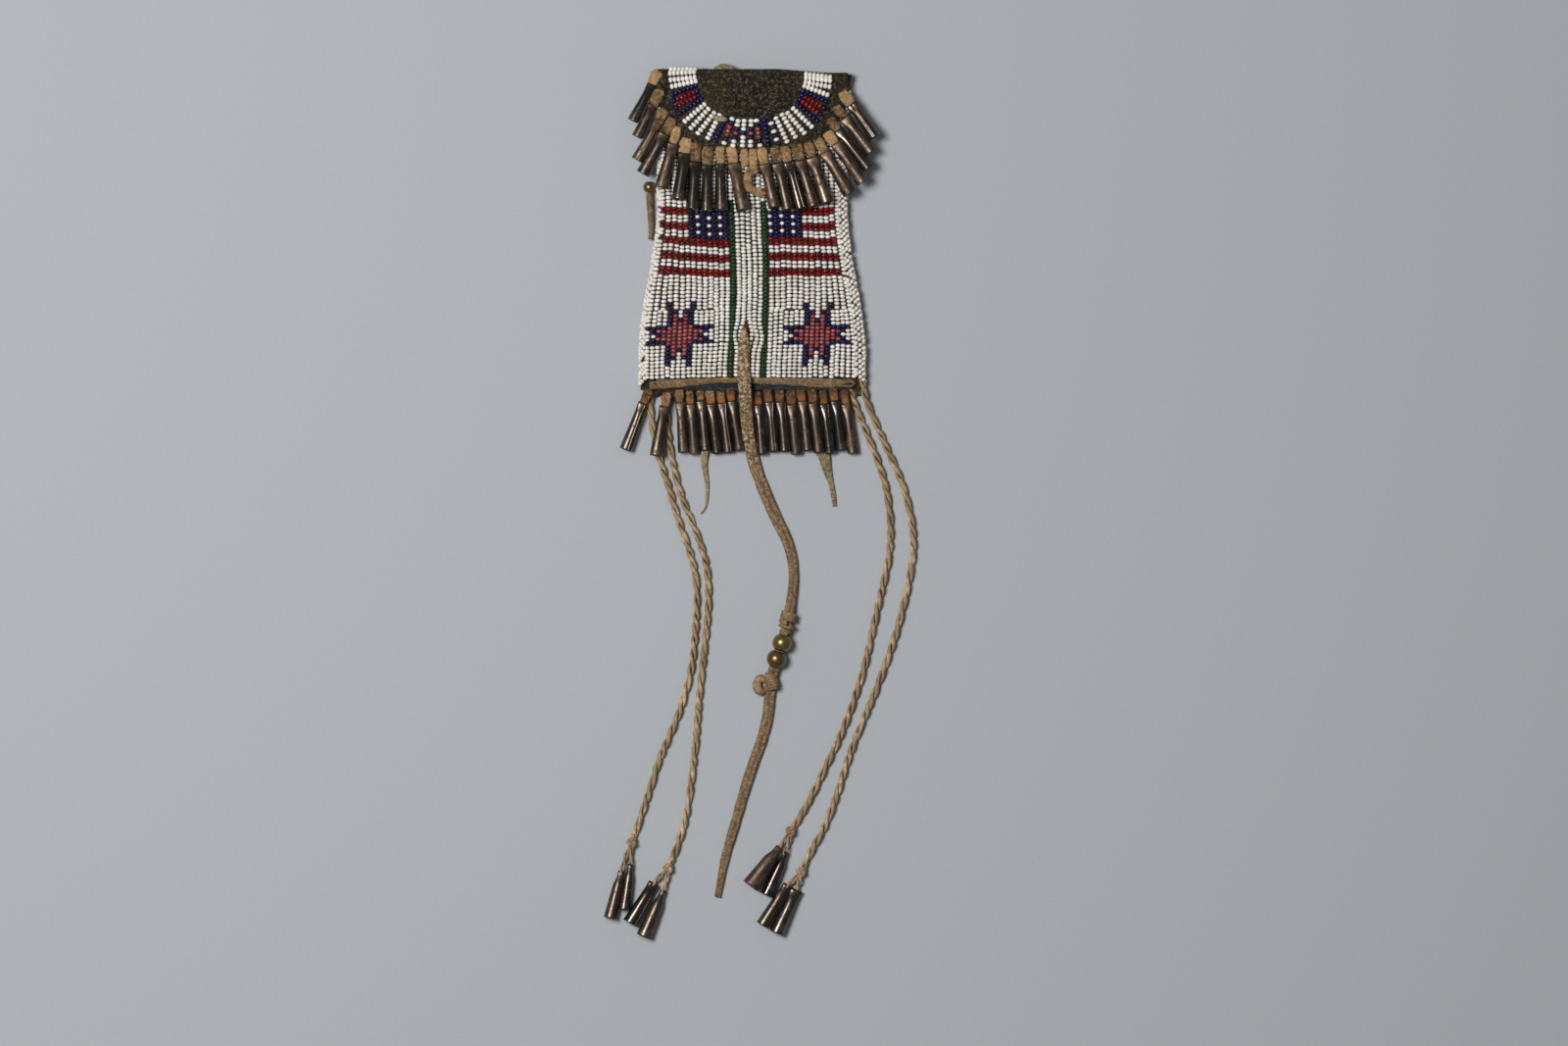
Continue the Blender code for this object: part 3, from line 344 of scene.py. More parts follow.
class Shader(Graph):
    """A material on one Principled surface."""

    def __init__(self, name):
        self.material = bpy.data.materials.new(name)
        self.material.use_nodes = True
        super().__init__(self.material.node_tree)
        self.surface = self.tree.nodes["Principled BSDF"]
        self.place = self.node("ShaderNodeTexCoord", {}, "Object")

    def math(self, operation, *values):
        return self.node("ShaderNodeMath", dict(enumerate(values)), operation=operation)

    def noise(self, size, detail=3.0, rough=0.55):
        """Noise with features of about size millimetres."""
        return self.node("ShaderNodeTexNoise", {"Vector": self.place, "Scale": 1 / (size * MM),
                                                "Detail": detail, "Roughness": rough})

    def streaks(self, **place):
        """Noise over a place that is put together from values the mesh carries."""
        vector = self.node("ShaderNodeCombineXYZ", place)
        return self.node("ShaderNodeTexNoise", {"Vector": vector, "Scale": 1.0, "Detail": 4.0,
                                                "Roughness": 0.6})

    def mark(self, name):
        """A value that the mesh carries at each vertex."""
        return self.node("ShaderNodeAttribute", {}, "Fac", attribute_name=name)

    def mix(self, share, first, second):
        return self.node("ShaderNodeMix", {0: share, 6: first, 7: second}, 2, data_type="RGBA")

    def bump(self, height, depth, strength=1.0):
        """Bump of that depth in millimetres."""
        return self.node("ShaderNodeBump", {"Height": height, "Distance": depth * MM,
                                            "Strength": strength})

    def finish(self, **inputs):
        for key, value in inputs.items():
            self.feed(self.surface.inputs[key.replace("_", " ")], value)
        return self.material


def bead_glass(name, dark, light, roughness):
    """Glass beads that differ a little from one to the next."""
    look = Shader(name)
    tone = look.mark("tone")
    colour = look.mix(tone, dark, light)
    worn = look.noise(9.0).rise(0.35, 0.75)
    grime = look.noise(0.4, 2.0)
    colour = look.mix(worn * 0.22 + grime * 0.14 - 0.06, colour, [c * 0.72 for c in dark])
    return look.finish(Base_Color=colour, Roughness=roughness + 0.12 * grime,
                       Normal=look.bump(grime, 0.03))


def suede(name, dark, light, speck, specks=0.4, patch=12.0, own=0.35, warm=None):
    """Napped hide: broad tone changes, a coarse nap and paler specks."""
    look = Shader(name)
    broad = look.noise(patch, 4.0).rise(0.32, 0.68)
    nap = look.noise(1.3, 6.0, 0.72)
    fine = look.noise(0.42, 3.0, 0.6)
    tone = look.mark("tone")
    colour = look.mix(broad * 0.5 + nap.rise(0.3, 0.7) * 0.55 + tone * own - 0.28, dark, light)
    if warm:
        colour = look.mix(look.noise(16.0, 4.0).rise(0.44, 0.62) * 0.6, colour, warm)
    spots = (nap * 0.6 + fine * 0.4).rise(0.5, 0.62)
    colour = look.mix(spots * specks, colour, speck)
    pits = (1 - fine).rise(0.5, 0.62)
    colour = look.mix(pits * 0.6, colour, [c * 0.4 for c in dark])
    stain = look.mark("stain")
    colour = look.mix(stain * (0.45 + 0.6 * nap), colour, (0.37, 0.13, 0.038))
    return look.finish(Base_Color=colour, Roughness=0.84 + 0.12 * fine,
                       Specular_IOR_Level=0.2,
                       Normal=look.bump(0.45 * nap + 0.55 * fine, 0.34, 0.8))


def twisted_hide():
    """Thin rolled hide: painted highlight on each ply's crown, painted brown shade in its grooves,
    pale patches and fibres.
    """
    look = Shader("twisted_hide")
    crown, along, around = look.mark("crown"), look.mark("along"), look.mark("around")
    fibre = look.streaks(X=along * 0.22, Y=around * 1.5, Z=look.mark("tone") * 9.0)
    lobe = look.noise(4.5, 3.0)
    nap = look.noise(0.5, 3.0, 0.65)
    # The ply-crown mark paints a highlight on each ply's crown and shade in the grooves between
    # plies.
    pale = crown.rise(0.0, 0.4) * 0.5 + fibre * 0.6 + lobe * 0.6 + nap * 0.2 - 0.7
    colour = look.mix(pale.rise(0.05, 0.75), (0.13, 0.075, 0.032), (0.42, 0.285, 0.15))
    colour = look.mix((lobe * 0.6 + fibre * 0.4).rise(0.51, 0.64) * 0.7, colour,
                      (0.70, 0.53, 0.33))
    colour = look.mix((1 - fibre).rise(0.56, 0.68) * 0.6, colour, (0.13, 0.075, 0.032))
    return look.finish(Base_Color=colour, Roughness=0.55 + 0.3 * nap, Specular_IOR_Level=0.35,
                       Normal=look.bump(0.75 * fibre + 0.25 * nap, 0.26, 0.9))


def strap_hide():
    """The flat thong: brown with long streaks, pale flecks on its upper part, and a crease painted
    as a dark shade line.
    """
    look = Shader("strap_hide")
    along, across = look.mark("along"), look.mark("across")
    streak = look.streaks(X=along * 0.16, Y=across * 2.6)
    nap = look.noise(1.1, 5.0, 0.7)
    fine = look.noise(0.5, 3.0, 0.6)
    grain = look.noise(0.95, 2.0, 0.6)
    colour = look.mix((streak * 0.9 + nap * 0.5).rise(0.45, 0.95), (0.075, 0.040, 0.015),
                      (0.26, 0.16, 0.068))
    low = along.rise(34.0, 62.0)
    flecks = (grain * 0.7 + fine * 0.3).rise(0.49, 0.6) * (0.8 - 0.55 * low)
    colour = look.mix(flecks, colour, (0.56, 0.45, 0.31))
    pits = (1 - grain).rise(0.52, 0.64) * (0.6 - 0.3 * low)
    colour = look.mix(pits, colour, (0.07, 0.038, 0.015))
    # A dark line along the middle of the lower half: painted shade of a crease, on a flat section.
    line = (1 - look.math("ABSOLUTE", across + 0.9 * streak - 0.35)).rise(0.72, 0.97)
    colour = look.mix(line * low * 0.6, colour, (0.07, 0.04, 0.017))
    return look.finish(Base_Color=colour, Roughness=0.62 + 0.25 * nap, Specular_IOR_Level=0.3,
                       Normal=look.bump(0.4 * streak + 0.35 * nap + 0.25 * fine, 0.3, 0.8))


def rolled_tin():
    """Old tinplate: dark patina, brown in places, rubbed bright and rusted here and there."""
    look = Shader("rolled_tin")
    tone, along = look.mark("tone"), look.mark("along")
    cloud = look.noise(4.5, 3.0).rise(0.35, 0.7)
    grain = look.noise(0.7, 4.0, 0.6)
    colour = look.mix(cloud * 0.5 + tone * 0.6 - 0.1, (0.074, 0.065, 0.055), (0.128, 0.086, 0.056))
    rub = (grain * 0.5 + cloud * 0.2 + 0.4 * along).rise(0.62, 0.9)
    colour = look.mix(rub * 0.45, colour, (0.30, 0.27, 0.235))
    rust = (look.noise(2.4, 5.0, 0.7) + 0.12 * tone).rise(0.60, 0.72)
    colour = look.mix(rust * 0.75, colour, (0.085, 0.038, 0.018))
    return look.finish(Base_Color=colour, Metallic=0.95 - 0.75 * rust,
                       Roughness=0.16 + 0.12 * grain + 0.2 * tone + 0.3 * rust,
                       Normal=look.bump(0.6 * cloud + 0.4 * grain, 0.035, 0.6))


def old_brass():
    look = Shader("old_brass")
    tone = look.mark("tone")
    stain = look.noise(2.6, 4.0).rise(0.3, 0.7)
    grain = look.noise(0.5, 3.0)
    colour = look.mix(stain * 0.4 + 0.6 * tone, (0.27, 0.205, 0.075), (0.16, 0.092, 0.042))
    return look.finish(Base_Color=colour, Metallic=0.85, Roughness=0.24 + 0.14 * stain,
                       Normal=look.bump(grain, 0.05, 0.5))


def table_paper():
    look = Shader("table_paper")
    grain = look.noise(1.2, 3.0)
    colour = look.mix(grain, (0.385, 0.405, 0.425), (0.425, 0.445, 0.465))
    return look.finish(Base_Color=colour, Roughness=0.9, Normal=look.bump(grain, 0.05, 0.3))


# Mesh building

class Shape:
    """Surfaces in millimetres, gathered into one mesh with values at its vertices."""

    def __init__(self):
        self.points, self.faces, self.marks = [], [], {}

    def add(self, point, **marks):
        for key in marks:
            self.marks.setdefault(key, [0.0] * len(self.points))
        for key, values in self.marks.items():
            values.append(marks.get(key, 0.0))
        self.points.append(point)
        return len(self.points) - 1

    def loft(self, rings, closed=True, ends=True, marks=None):
        """Skins rows of points. marks gives a vertex's values by row and place."""
        rows = [[self.add(p, **(marks(r, k) if marks else {})) for k, p in enumerate(ring)]
                for r, ring in enumerate(rings)]
        count = len(rows[0])
        for a, b in zip(rows, rows[1:]):
            for k in range(count if closed else count - 1):
                n = (k + 1) % count
                self.faces.append((a[k], a[n], b[n], b[k]))
        if ends:
            self.faces.append(tuple(reversed(rows[0])))
            self.faces.append(tuple(rows[-1]))
        return rows

    def build(self, name, material, body=None, slot=None, replaces=()):
        mesh = bpy.data.meshes.new(name)
        mesh.from_pydata([Vector(p) * MM for p in self.points], [], self.faces)
        turned = bmesh.new()
        turned.from_mesh(mesh)
        bmesh.ops.recalc_face_normals(turned, faces=turned.faces)
        turned.to_mesh(mesh)
        turned.free()
        for key, values in self.marks.items():
            mesh.attributes.new(key, "FLOAT", "POINT").data.foreach_set("value", values)
        mesh.polygons.foreach_set("use_smooth", [True] * len(mesh.polygons))
        mesh.materials.append(material)
        return settle(add_object(name, mesh), body, slot, replaces)


def add_object(name, data):
    obj = bpy.data.objects.new(name, data)
    bpy.context.scene.collection.objects.link(obj)
    return obj


def settle(obj, body, slot, replaces=()):
    """Puts the piece on the body that it rides on and hides the CAD parts that it replaces."""
    if body:
        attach(obj, body)
    if replaces:
        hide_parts(*replaces)
    return obj


def frames_along(path):
    """Each point with its direction, its sideways axis and its upward axis."""
    made, up = [], UP
    for index, point in enumerate(path):
        along = path[min(index + 1, len(path) - 1)] - path[max(index - 1, 0)]
        along.normalize()
        across = along.cross(up)
        if across.length < 0.001:
            across = along.cross(Vector((0, 1, 0)))
        across.normalize()
        up = across.cross(along)
        made.append((point, along, across, up))
    return made


def ring_at(point, across, up, section):
    """A section's points, set across a path."""
    return [point + across * a + up * b for a, b in section]


def toned(tone):
    """The marks of a surface that has one tone."""
    return lambda r, k: {"tone": tone}


def sweep(shape, path, section, marks=None):
    """Sweeps section(share) = [(across, up), ...] along the path."""
    frames = frames_along(path)
    last = len(frames) - 1
    rings = [ring_at(point, across, up, section(index / last))
             for index, (point, _, across, up) in enumerate(frames)]
    shape.loft(rings, marks=marks)


def round_section(radius, count, squash=1.0):
    return [(radius * math.cos(math.tau * k / count),
             radius * squash * math.sin(math.tau * k / count)) for k in range(count)]


def flat_section(width, thick, corner=0.45, count=3):
    """A strap's section: flat faces and rounded edges."""
    radius = thick * corner
    made = []
    for cx, cy, start in ((width / 2 - radius, thick / 2 - radius, 0),
                          (radius - width / 2, thick / 2 - radius, 90),
                          (radius - width / 2, radius - thick / 2, 180),
                          (width / 2 - radius, radius - thick / 2, 270)):
        for k in range(count):
            angle = math.radians(start + 90 * k / (count - 1))
            made.append((cx + radius * math.cos(angle), cy + radius * math.sin(angle)))
    return made


def smooth_route(points, spacing):
    """Points at even steps along a smooth curve through the given points."""
    points = [Vector(p) for p in points]
    ends = [points[0] * 2 - points[1]] + points + [points[-1] * 2 - points[-2]]
    fine = []
    for a, b, c, d in zip(ends, ends[1:], ends[2:], ends[3:]):
        for step in range(16):
            t = step / 16
            fine.append(0.5 * (2 * b + (c - a) * t + (2 * a - 5 * b + 4 * c - d) * t * t
                               + (3 * b - a - 3 * c + d) * t ** 3))
    fine.append(points[-1])
    lengths = [0.0]
    for a, b in zip(fine, fine[1:]):
        lengths.append(lengths[-1] + (b - a).length)
    count = max(2, round(lengths[-1] / spacing))
    route, place = [], 0
    for step in range(count + 1):
        target = lengths[-1] * step / count
        while place < len(fine) - 2 and lengths[place + 1] < target:
            place += 1
        part = (target - lengths[place]) / (lengths[place + 1] - lengths[place])
        route.append(fine[place].lerp(fine[place + 1], min(part, 1.0)))
    return route


def route_length(route):
    return sum((b - a).length for a, b in zip(route, route[1:]))


def smooth_step(value):
    value = min(max(value, 0.0), 1.0)
    return value * value * (3 - 2 * value)


def wander(x, y, size, seed=0.0):
    """Smooth variation between about -1 and 1 with features of that size."""
    return noise.noise(Vector((x / size, y / size, seed)))


def flare(y):
    """How far the sides have spread there, from 0 at the top to 1 at the bottom."""
    return smooth_step((TOP - y - FLARE_START) / (FLARE_END - FLARE_START))


def half_width(y):
    return HALF_TOP + (HALF_BOTTOM - HALF_TOP) * flare(y)


def face_height(x, y):
    """How high the pouch's face is: it falls towards both sides."""
    share = min(abs(x) / half_width(y), 1.0)
    return FACE_HEIGHT - EDGE_DROP * share ** 4


def fold_line(x):
    """Where the flap folds: it falls a little towards the right."""
    return FOLD_Y - FOLD_SLOPE * smooth_step((x - 6) / 24)


def fold_drop(x, y):
    """How much lower the flap is where it starts to round over its fold."""
    return 0.55 * max(y - fold_line(x) + 1.6, 0.0) ** 2


# Beads

def bead_mesh():
    """A pressed glass bead of unit width along Y, with its hole."""
    shape = Shape()
    profile = [(0.17, -0.31), (0.325, -0.255), (0.45, -0.15), (0.5, 0.0), (0.45, 0.15),
               (0.325, 0.255), (0.17, 0.31)]
    rings = [[Vector((r * math.cos(math.tau * k / 8), y, r * math.sin(math.tau * k / 8)))
              for k in range(8)] for r, y in profile]
    shape.loft(rings + rings[:1], ends=False)
    mesh = bpy.data.meshes.new("bead")
    mesh.from_pydata(shape.points, [], shape.faces)
    mesh.polygons.foreach_set("use_smooth", [True] * len(mesh.polygons))
    return add_object("bead", mesh)


def bead_tree():
    """Geometry nodes that put a bead on each point, turned and scaled by its marks."""
    tree = bpy.data.node_groups.new("string beads", "GeometryNodeTree")
    for name, way, kind in (("Geometry", "INPUT", "Geometry"), ("Bead", "INPUT", "Object"),
                            ("Material", "INPUT", "Material"), ("Geometry", "OUTPUT", "Geometry")):
        tree.interface.new_socket(name, in_out=way, socket_type="NodeSocket" + kind)
    graph = Graph(tree)
    start, end = tree.nodes.new("NodeGroupInput"), tree.nodes.new("NodeGroupOutput")
    points, bead, material = [Signal(graph, start.outputs[name])
                              for name in ("Geometry", "Bead", "Material")]
    shape = graph.node("GeometryNodeObjectInfo", {"Object": bead}, "Geometry")
    turn, size = [graph.node("GeometryNodeInputNamedAttribute", {"Name": name}, "Attribute",
                             data_type="FLOAT_VECTOR") for name in ("turn", "size")]
    placed = graph.node("GeometryNodeInstanceOnPoints", {
        "Points": points, "Instance": shape, "Rotation": turn, "Scale": size}, "Instances")
    real = graph.node("GeometryNodeRealizeInstances", {"Geometry": placed}, "Geometry")
    painted = graph.node("GeometryNodeSetMaterial", {"Geometry": real, "Material": material},
                         "Geometry")
    graph.feed(end.inputs["Geometry"], painted)
    return tree


class Beads:
    """Where beads of one colour on one body go."""

    def __init__(self):
        self.places, self.turns, self.sizes, self.tones = [], [], [], []

    def add(self, place, direction, width, length, tone):
        """A bead whose hole points along direction."""
        turn = Vector(direction).to_track_quat("Y", "Z").to_euler()
        self.places.append(Vector(place) * MM)
        self.turns.extend(turn)
        self.sizes.extend((width * MM, length / 0.62 * MM, width * MM))
        self.tones.append(tone)

    def build(self, name, tree, bead, material, body, slot=None, replaces=()):
        mesh = bpy.data.meshes.new(name)
        mesh.from_pydata(self.places, [], [])
        for key, values in (("turn", self.turns), ("size", self.sizes)):
            mesh.attributes.new(key, "FLOAT_VECTOR", "POINT").data.foreach_set("vector", values)
        mesh.attributes.new("tone", "FLOAT", "POINT").data.foreach_set("value", self.tones)
        points = add_object(name + "_points", mesh)
        strung = points.modifiers.new("string beads", "NODES")
        strung.node_group = tree
        sockets = {item.name: item.identifier for item in tree.interface.items_tree
                   if item.in_out == "INPUT"}
        strung[sockets["Bead"]] = bead
        strung[sockets["Material"]] = material
        bpy.context.view_layer.update()
        depsgraph = bpy.context.evaluated_depsgraph_get()
        made = bpy.data.meshes.new_from_object(points.evaluated_get(depsgraph))
        made.name = name
        bpy.data.objects.remove(points, do_unlink=True)
        return settle(add_object(name, made), body, slot, replaces)


def star_colour(column, row):
    """An eight-pointed star about its middle bead: rose with a navy outline."""
    c, r = abs(column), abs(row)
    if c <= 1:
        edge = 4 + 2 * c
        return "rose" if r < edge else "navy" if r == edge else None
    if c == 2:
        return "rose" if r <= 2 else "navy" if r <= 8 else None
    if c <= 6 and r <= 2:
        if r == 2 or r == c - 4:
            return "navy"
        return "rose" if r > c - 4 else None
    return None


def front_colour(column, row):
    """Colour of a front bead: two flags on green poles and two stars, on white."""
    side = abs(column)
    if side == POLE_COLUMN and row >= POLE_TOP:
        return "green"
    first, last = FLAG_ROWS
    if first <= row <= last and POLE_COLUMN < side <= FLAG_LAST:
        canton = LEFT_CANTON if column < 0 else RIGHT_CANTON
        if side <= canton and row < first + CANTON_ROWS:
            dots = (side % 2 == 1 and side > 4) if column < 0 else side % 2 == 0
            return "dot" if dots and (row - first) % 2 == 0 and row - first < 7 else "navy"
        return "red" if (row - first) // 2 % 2 == 0 else "white"
    if row // LANE_BEADS < LOW_LANE:
        wider = (LEFT_PITCH if column < 0 else RIGHT_PITCH) / LOW_PITCH
        side = round(POLE_COLUMN + (side - POLE_COLUMN) * wider)
    return star_colour(side - STAR_COLUMN, row - STAR_ROW) or "white"


def band_width(x, y):
    """Width of the wrapped rows at the side that x is on."""
    narrow, wide = LEFT_BAND if x < 0 else RIGHT_BAND
    return narrow + (wide - narrow) * flare(y)


def between(table, value):
    """Value between the neighbours of a falling table of pairs."""
    for (a, first), (b, second) in zip(table, table[1:]):
        if value >= b:
            share = min(max((a - value) / (a - b), 0.0), 1.0)
            return first + (second - first) * share
    return table[-1][1]


def string_pitch(column, lane):
    """From one string to the next in that place."""
    if abs(column) <= POLE_COLUMN:
        return POLE_REACH / POLE_COLUMN
    return LOW_PITCH if lane >= LOW_LANE else LEFT_PITCH if column < 0 else RIGHT_PITCH


def string_place(column, row):
    """Where a bead of the front lies, in plan."""
    lane = row // LANE_BEADS
    side = abs(column)
    y = TOP - (row + 0.5) * BEAD_PITCH
    pitch = string_pitch(column, lane)
    x = math.copysign(min(side, POLE_COLUMN) * POLE_REACH / POLE_COLUMN
                      + max(side - POLE_COLUMN, 0) * pitch, column)
    x += MIDDLE_X + BOW * math.sin(math.pi * min(max((BOW_TOP - y) / BOW_LENGTH, 0.0), 1.0))
    x += 0.16 * wander(column * 3.3, lane * 9.1, 3.0) + 0.2 * wander(x, y, 9.0, 3.0)
    parting = math.exp(-((y - PARTING_Y) / PARTING_LENGTH) ** 2)
    if side < POLE_COLUMN:
        x += math.copysign(PARTING_WIDTH, column + 0.8) * parting
    if x < 0:
        y += between(LEFT_LEAN, y) * (x - LEFT_LEAN_X)
    else:
        y += 0.5 * wander(x, y, 16.0, 6.0)
    y += 0.62 * wander(column * 2.7, lane * 5.3, 3.0, 1.0)
    return x, y


def side_limit(x, y):
    """How far out the middle of a front bead may lie."""
    return half_width(y) - band_width(x, y) + 0.45 - BEAD_WIDTHS["white"] / 2


def last_column(side, lane):
    """The outermost string of that lane: the one nearest to the side band."""
    column = POLE_COLUMN + 1
    while True:
        x, y = string_place(side * (column + 1), lane * LANE_BEADS + LANE_BEADS // 2)
        if abs(x) > side_limit(x, y) + LEFT_PITCH / 2:
            return column
        column += 1


def string_front(rows, rng):
    """The upright strings, sewn down between the lanes and spread to the side bands."""
    beads = {colour: Beads() for colour in BEAD_WIDTHS}
    last = {(side, lane): last_column(side, lane) for side in (-1, 1) for lane in range(LANES)}
    for column in range(-LAST_COLUMN, LAST_COLUMN + 1):
        side = -1 if column < 0 else 1
        for row in rows:
            outer = last[side, row // LANE_BEADS]
            if abs(column) > outer:
                continue
            x, y = string_place(column, row)
            if abs(column) > outer - EASED:
                far_x, far_y = string_place(side * outer, row)
                gap = side_limit(far_x, far_y) - abs(far_x)
                x += side * gap * (abs(column) - outer + EASED) / EASED
            in_lane = (row % LANE_BEADS + 0.5) / LANE_BEADS
            hump = LANE_HUMP * (math.sin(math.pi * in_lane) - 0.6)
            rise = LANE_HUMP * math.cos(math.pi * in_lane) * 0.26
            colour = front_colour(column, row)
            share = string_pitch(column, row // LANE_BEADS) / LEFT_PITCH
            if abs(column) < POLE_COLUMN:
                share *= MIDDLE_SHARE
            if colour == "dot":
                colour, share = "white", DOT_SHARE
            width = BEAD_WIDTHS[colour] * share * rng.uniform(0.93, 1.05)
            z = face_height(x, y) - BEAD_WIDTHS["white"] / 2 + hump + rng.uniform(-0.07, 0.07)
            y += rng.uniform(-0.06, 0.06)
            beads[colour].add((x + rng.uniform(-0.08, 0.08), y, z),
                              (rng.uniform(-0.1, 0.1), 1.0, -rise), width,
                              BEAD_PITCH * rng.uniform(0.87, 0.97), rng.random())
    return beads


def string_edges(rng):
    """Slanting rows wrapped round both sides."""
    beads = Beads()
    for side in (-1, 1):
        rows = int((FRONT_TOP - BOTTOM) / EDGE_ROW_PITCH)
        for row in range(rows + 1):
            y = FRONT_TOP - 0.4 - row * EDGE_ROW_PITCH
            if side < 0 and row > LEFT_GAP_ROW:
                y -= LEFT_GAP
            width = half_width(y)
            if side > 0:
                width += BULGE * math.exp(-((y - BULGE_Y) / BULGE_LENGTH) ** 2)
            band = band_width(side * width, y)
            face = face_height(width - band, y)
            path = [Vector((width - band + 0.35, 0.9, face - 0.95)),
                    Vector((width - band * 0.5 - 0.4, 0.0, face - 1.0)),
                    Vector((width - 1.0, -1.2, 4.3)), Vector((width - 0.75, -2.1, 2.9)),
                    Vector((width - 0.95, -2.6, 1.3))]
            route = smooth_route(path, EDGE_BEAD_PITCH)
            slip = 0.5 * wander(row * 1.7, side, 2.0)
            slant = 0.75 + 0.9 * wander(row * 1.3, 5.0 * side, 2.5, 2.0)
            for index, point in enumerate(route):
                ahead = route[min(index + 1, len(route) - 1)] - route[max(index - 1, 0)]
                low = BOTTOM - (2.0 if side < 0 else 0.9)
                place = (side * point.x, max(y + slip + slant * point.y, low), point.z)
                place = [v + rng.uniform(-0.14, 0.14) for v in place]
                # Edge beads take only the darker tones: painted shade on the rows that turn down
                # the sides.
                beads.add(place, (side * ahead.x, slant * ahead.y, ahead.z),
                          BEAD_WIDTHS["white"] * rng.uniform(0.79, 0.92),
                          BEAD_PITCH * rng.uniform(0.91, 1.03), 0.4 * rng.random())
    return beads


def ring_rows():
    """The flap's rows, left to right: each a word with one letter for each bead."""
    plain, stripe = ["wwwwwww"] * 4, ["nnnnnnn", "nrrrrrn", "nrrrrrn", "nnnnnnn"]
    middle = ["nnnnnnn", "wnpppnw", "wwnpnww", "wwwnwww", "wwnpnww", "wnpppnw", "nnnnnnn",
              "nwnwnwn"]
    return plain + stripe + plain + middle + plain + stripe + plain


def string_ring(rng):
    """Rows of beads that spread from the flap's bare field, the end rows on its fold."""
    beads = {colour: Beads() for colour in RING_WIDTHS}
    names = {"w": "white", "n": "navy", "r": "red", "p": "rose"}
    rows = ring_rows()
    (near, far), (near_rows, far_rows) = RING_STEPS, RING_STEP_ROWS
    for index, row in enumerate(rows):
        step = index - (len(rows) - 1) / 2
        turn = near * min(abs(step), near_rows)
        turn += far * max(min(abs(step), far_rows) - near_rows, 0.0)
        angle = math.radians(RING_TURN + math.copysign(turn, step))
        angle += 0.016 * wander(index * 3.0, 0, 2.0)
        tilt = 0.05 * wander(index * 2.3, 4.0, 2.0)
        slip = 0.45 * wander(index * 1.9, 9.0, 2.0)
        square = 1 + RING_SQUARE * math.sin(2 * angle) ** 2
        for place, letter in enumerate(row):
            share = (place + 0.5) / RING_BEADS
            reach = [a + (b - a) * share for a, b in zip(RING_INNER, RING_OUTER)]
            bend = angle + tilt * (share - 0.5)
            x = RING_CENTRE[0] + (reach[0] * square + slip) * math.sin(bend)
            y = RING_CENTRE[1] - (reach[1] * square + slip) * math.cos(bend)
            colour = names[letter]
            width = RING_WIDTHS[colour] * rng.uniform(0.94, 1.05)
            z = face_height(x, y) + FLAP_LIFT + width / 2 - 0.35 - fold_drop(x, y)
            beads[colour].add((x, y, z + rng.uniform(-0.06, 0.06)),
                              (math.sin(angle), -math.cos(angle), 0), width,
                              RING_PITCH * rng.uniform(0.93, 1.02), rng.random())
    return beads


# Cones, tabs and strips

def cone_matrix(top, mouth):
    """Axes of a cone: -Y along it and Z up, with its origin at its top."""
    along = (mouth - top).normalized()
    across = UP.cross(-along).normalized()
    up = across.cross(-along)
    return Matrix.Translation(top) @ Matrix((across, -along, up)).transposed().to_4x4()


def add_cone(shape, top, mouth, width, rng, crimp=None):
    """A sheet rolled with a lap and crimped flat at its top. crimp is how wide there."""
    matrix = cone_matrix(top, mouth)
    length = (mouth - top).length
    tone, seam = rng.random(), rng.uniform(0, math.tau)
    crimp = crimp or width * rng.uniform(0.84, 1.04)
    spread = crimp / width - CONE_PROFILE[0][1]
    lean = rng.uniform(-0.03, 0.03)
    rings = []
    for share, across, tall, power in CONE_PROFILE:
        across += spread * (1 - smooth_step((share - CRIMP_END) / CRIMP_EASE))
        shift = lean * width * (1 - share)
        ring = []
        for inner in (0.0, TIN):
            steps = range(LAP_STEPS + 1) if not inner else range(LAP_STEPS, -1, -1)
            for k in steps:
                angle = seam + (math.tau + LAP_TURN) * k / LAP_STEPS
                grow = TIN * k / LAP_STEPS - inner
                ca, sa = math.cos(angle), math.sin(angle)
                half = max(tall * width / 2 + grow, 0.12)
                x = (across * width / 2 + grow) * math.copysign(abs(ca) ** power, ca)
                z = half * math.copysign(abs(sa) ** power, sa)
                ring.append(matrix @ Vector((x + shift, -share * length, z)))
        rings.append(ring)
    shares = [row[0] for row in CONE_PROFILE]
    shape.loft(rings, ends=False, marks=lambda r, k: {"along": shares[r], "tone": tone})
    size = LAP_STEPS + 1
    for row in (0, -1):
        base = len(shape.points) - (len(rings) if row == 0 else 1) * 2 * size
        for k in range(LAP_STEPS):
            shape.faces.append((base + k, base + k + 1, base + 2 * size - 2 - k,
                                base + 2 * size - 1 - k))


def add_tab(shape, top, along, rng, size, tones, stain=0.0, drop=0.0):
    """A folded tab of hide from its carrier into the cone's crimp."""
    length = size[0] * rng.uniform(0.9, 1.12)
    width = size[1] * rng.uniform(0.86, 1.1)
    tone = rng.uniform(*tones)
    sideways = Vector((-along.y, along.x, 0)) * rng.uniform(-0.3, 0.3)
    last = len(TAB_SIZES) - 1
    path = []
    for step in range(last + 1):
        share = step / last
        point = top + along * (length * (share - 1) + TAB_TUCK * share)
        point += sideways * math.sin(math.pi * share) + Vector((0, 0, drop))
        path.append(point)
    lean, seed = rng.uniform(-0.12, 0.12), rng.uniform(0, 90)

    def section(share):
        wide, tall = TAB_SIZES[round(share * last)]
        wide *= 1 + 0.14 * wander(share * 6, seed, 1.6)
        return [(a + 0.3 * wander(share * 5, seed, 1.3, 4.0),
                 b + a * lean + 0.22 * wander(a * 2, share * 7, 2.0, seed) * (b > 0))
                for a, b in flat_section(width * wide, TAB_THICK * tall, 0.47, 5)]

    sweep(shape, path, section, marks=lambda r, k: {"tone": tone - 0.12 * (r in (0, last)),
                                                   "stain": stain * smooth_step(r / 5 - 0.6)})


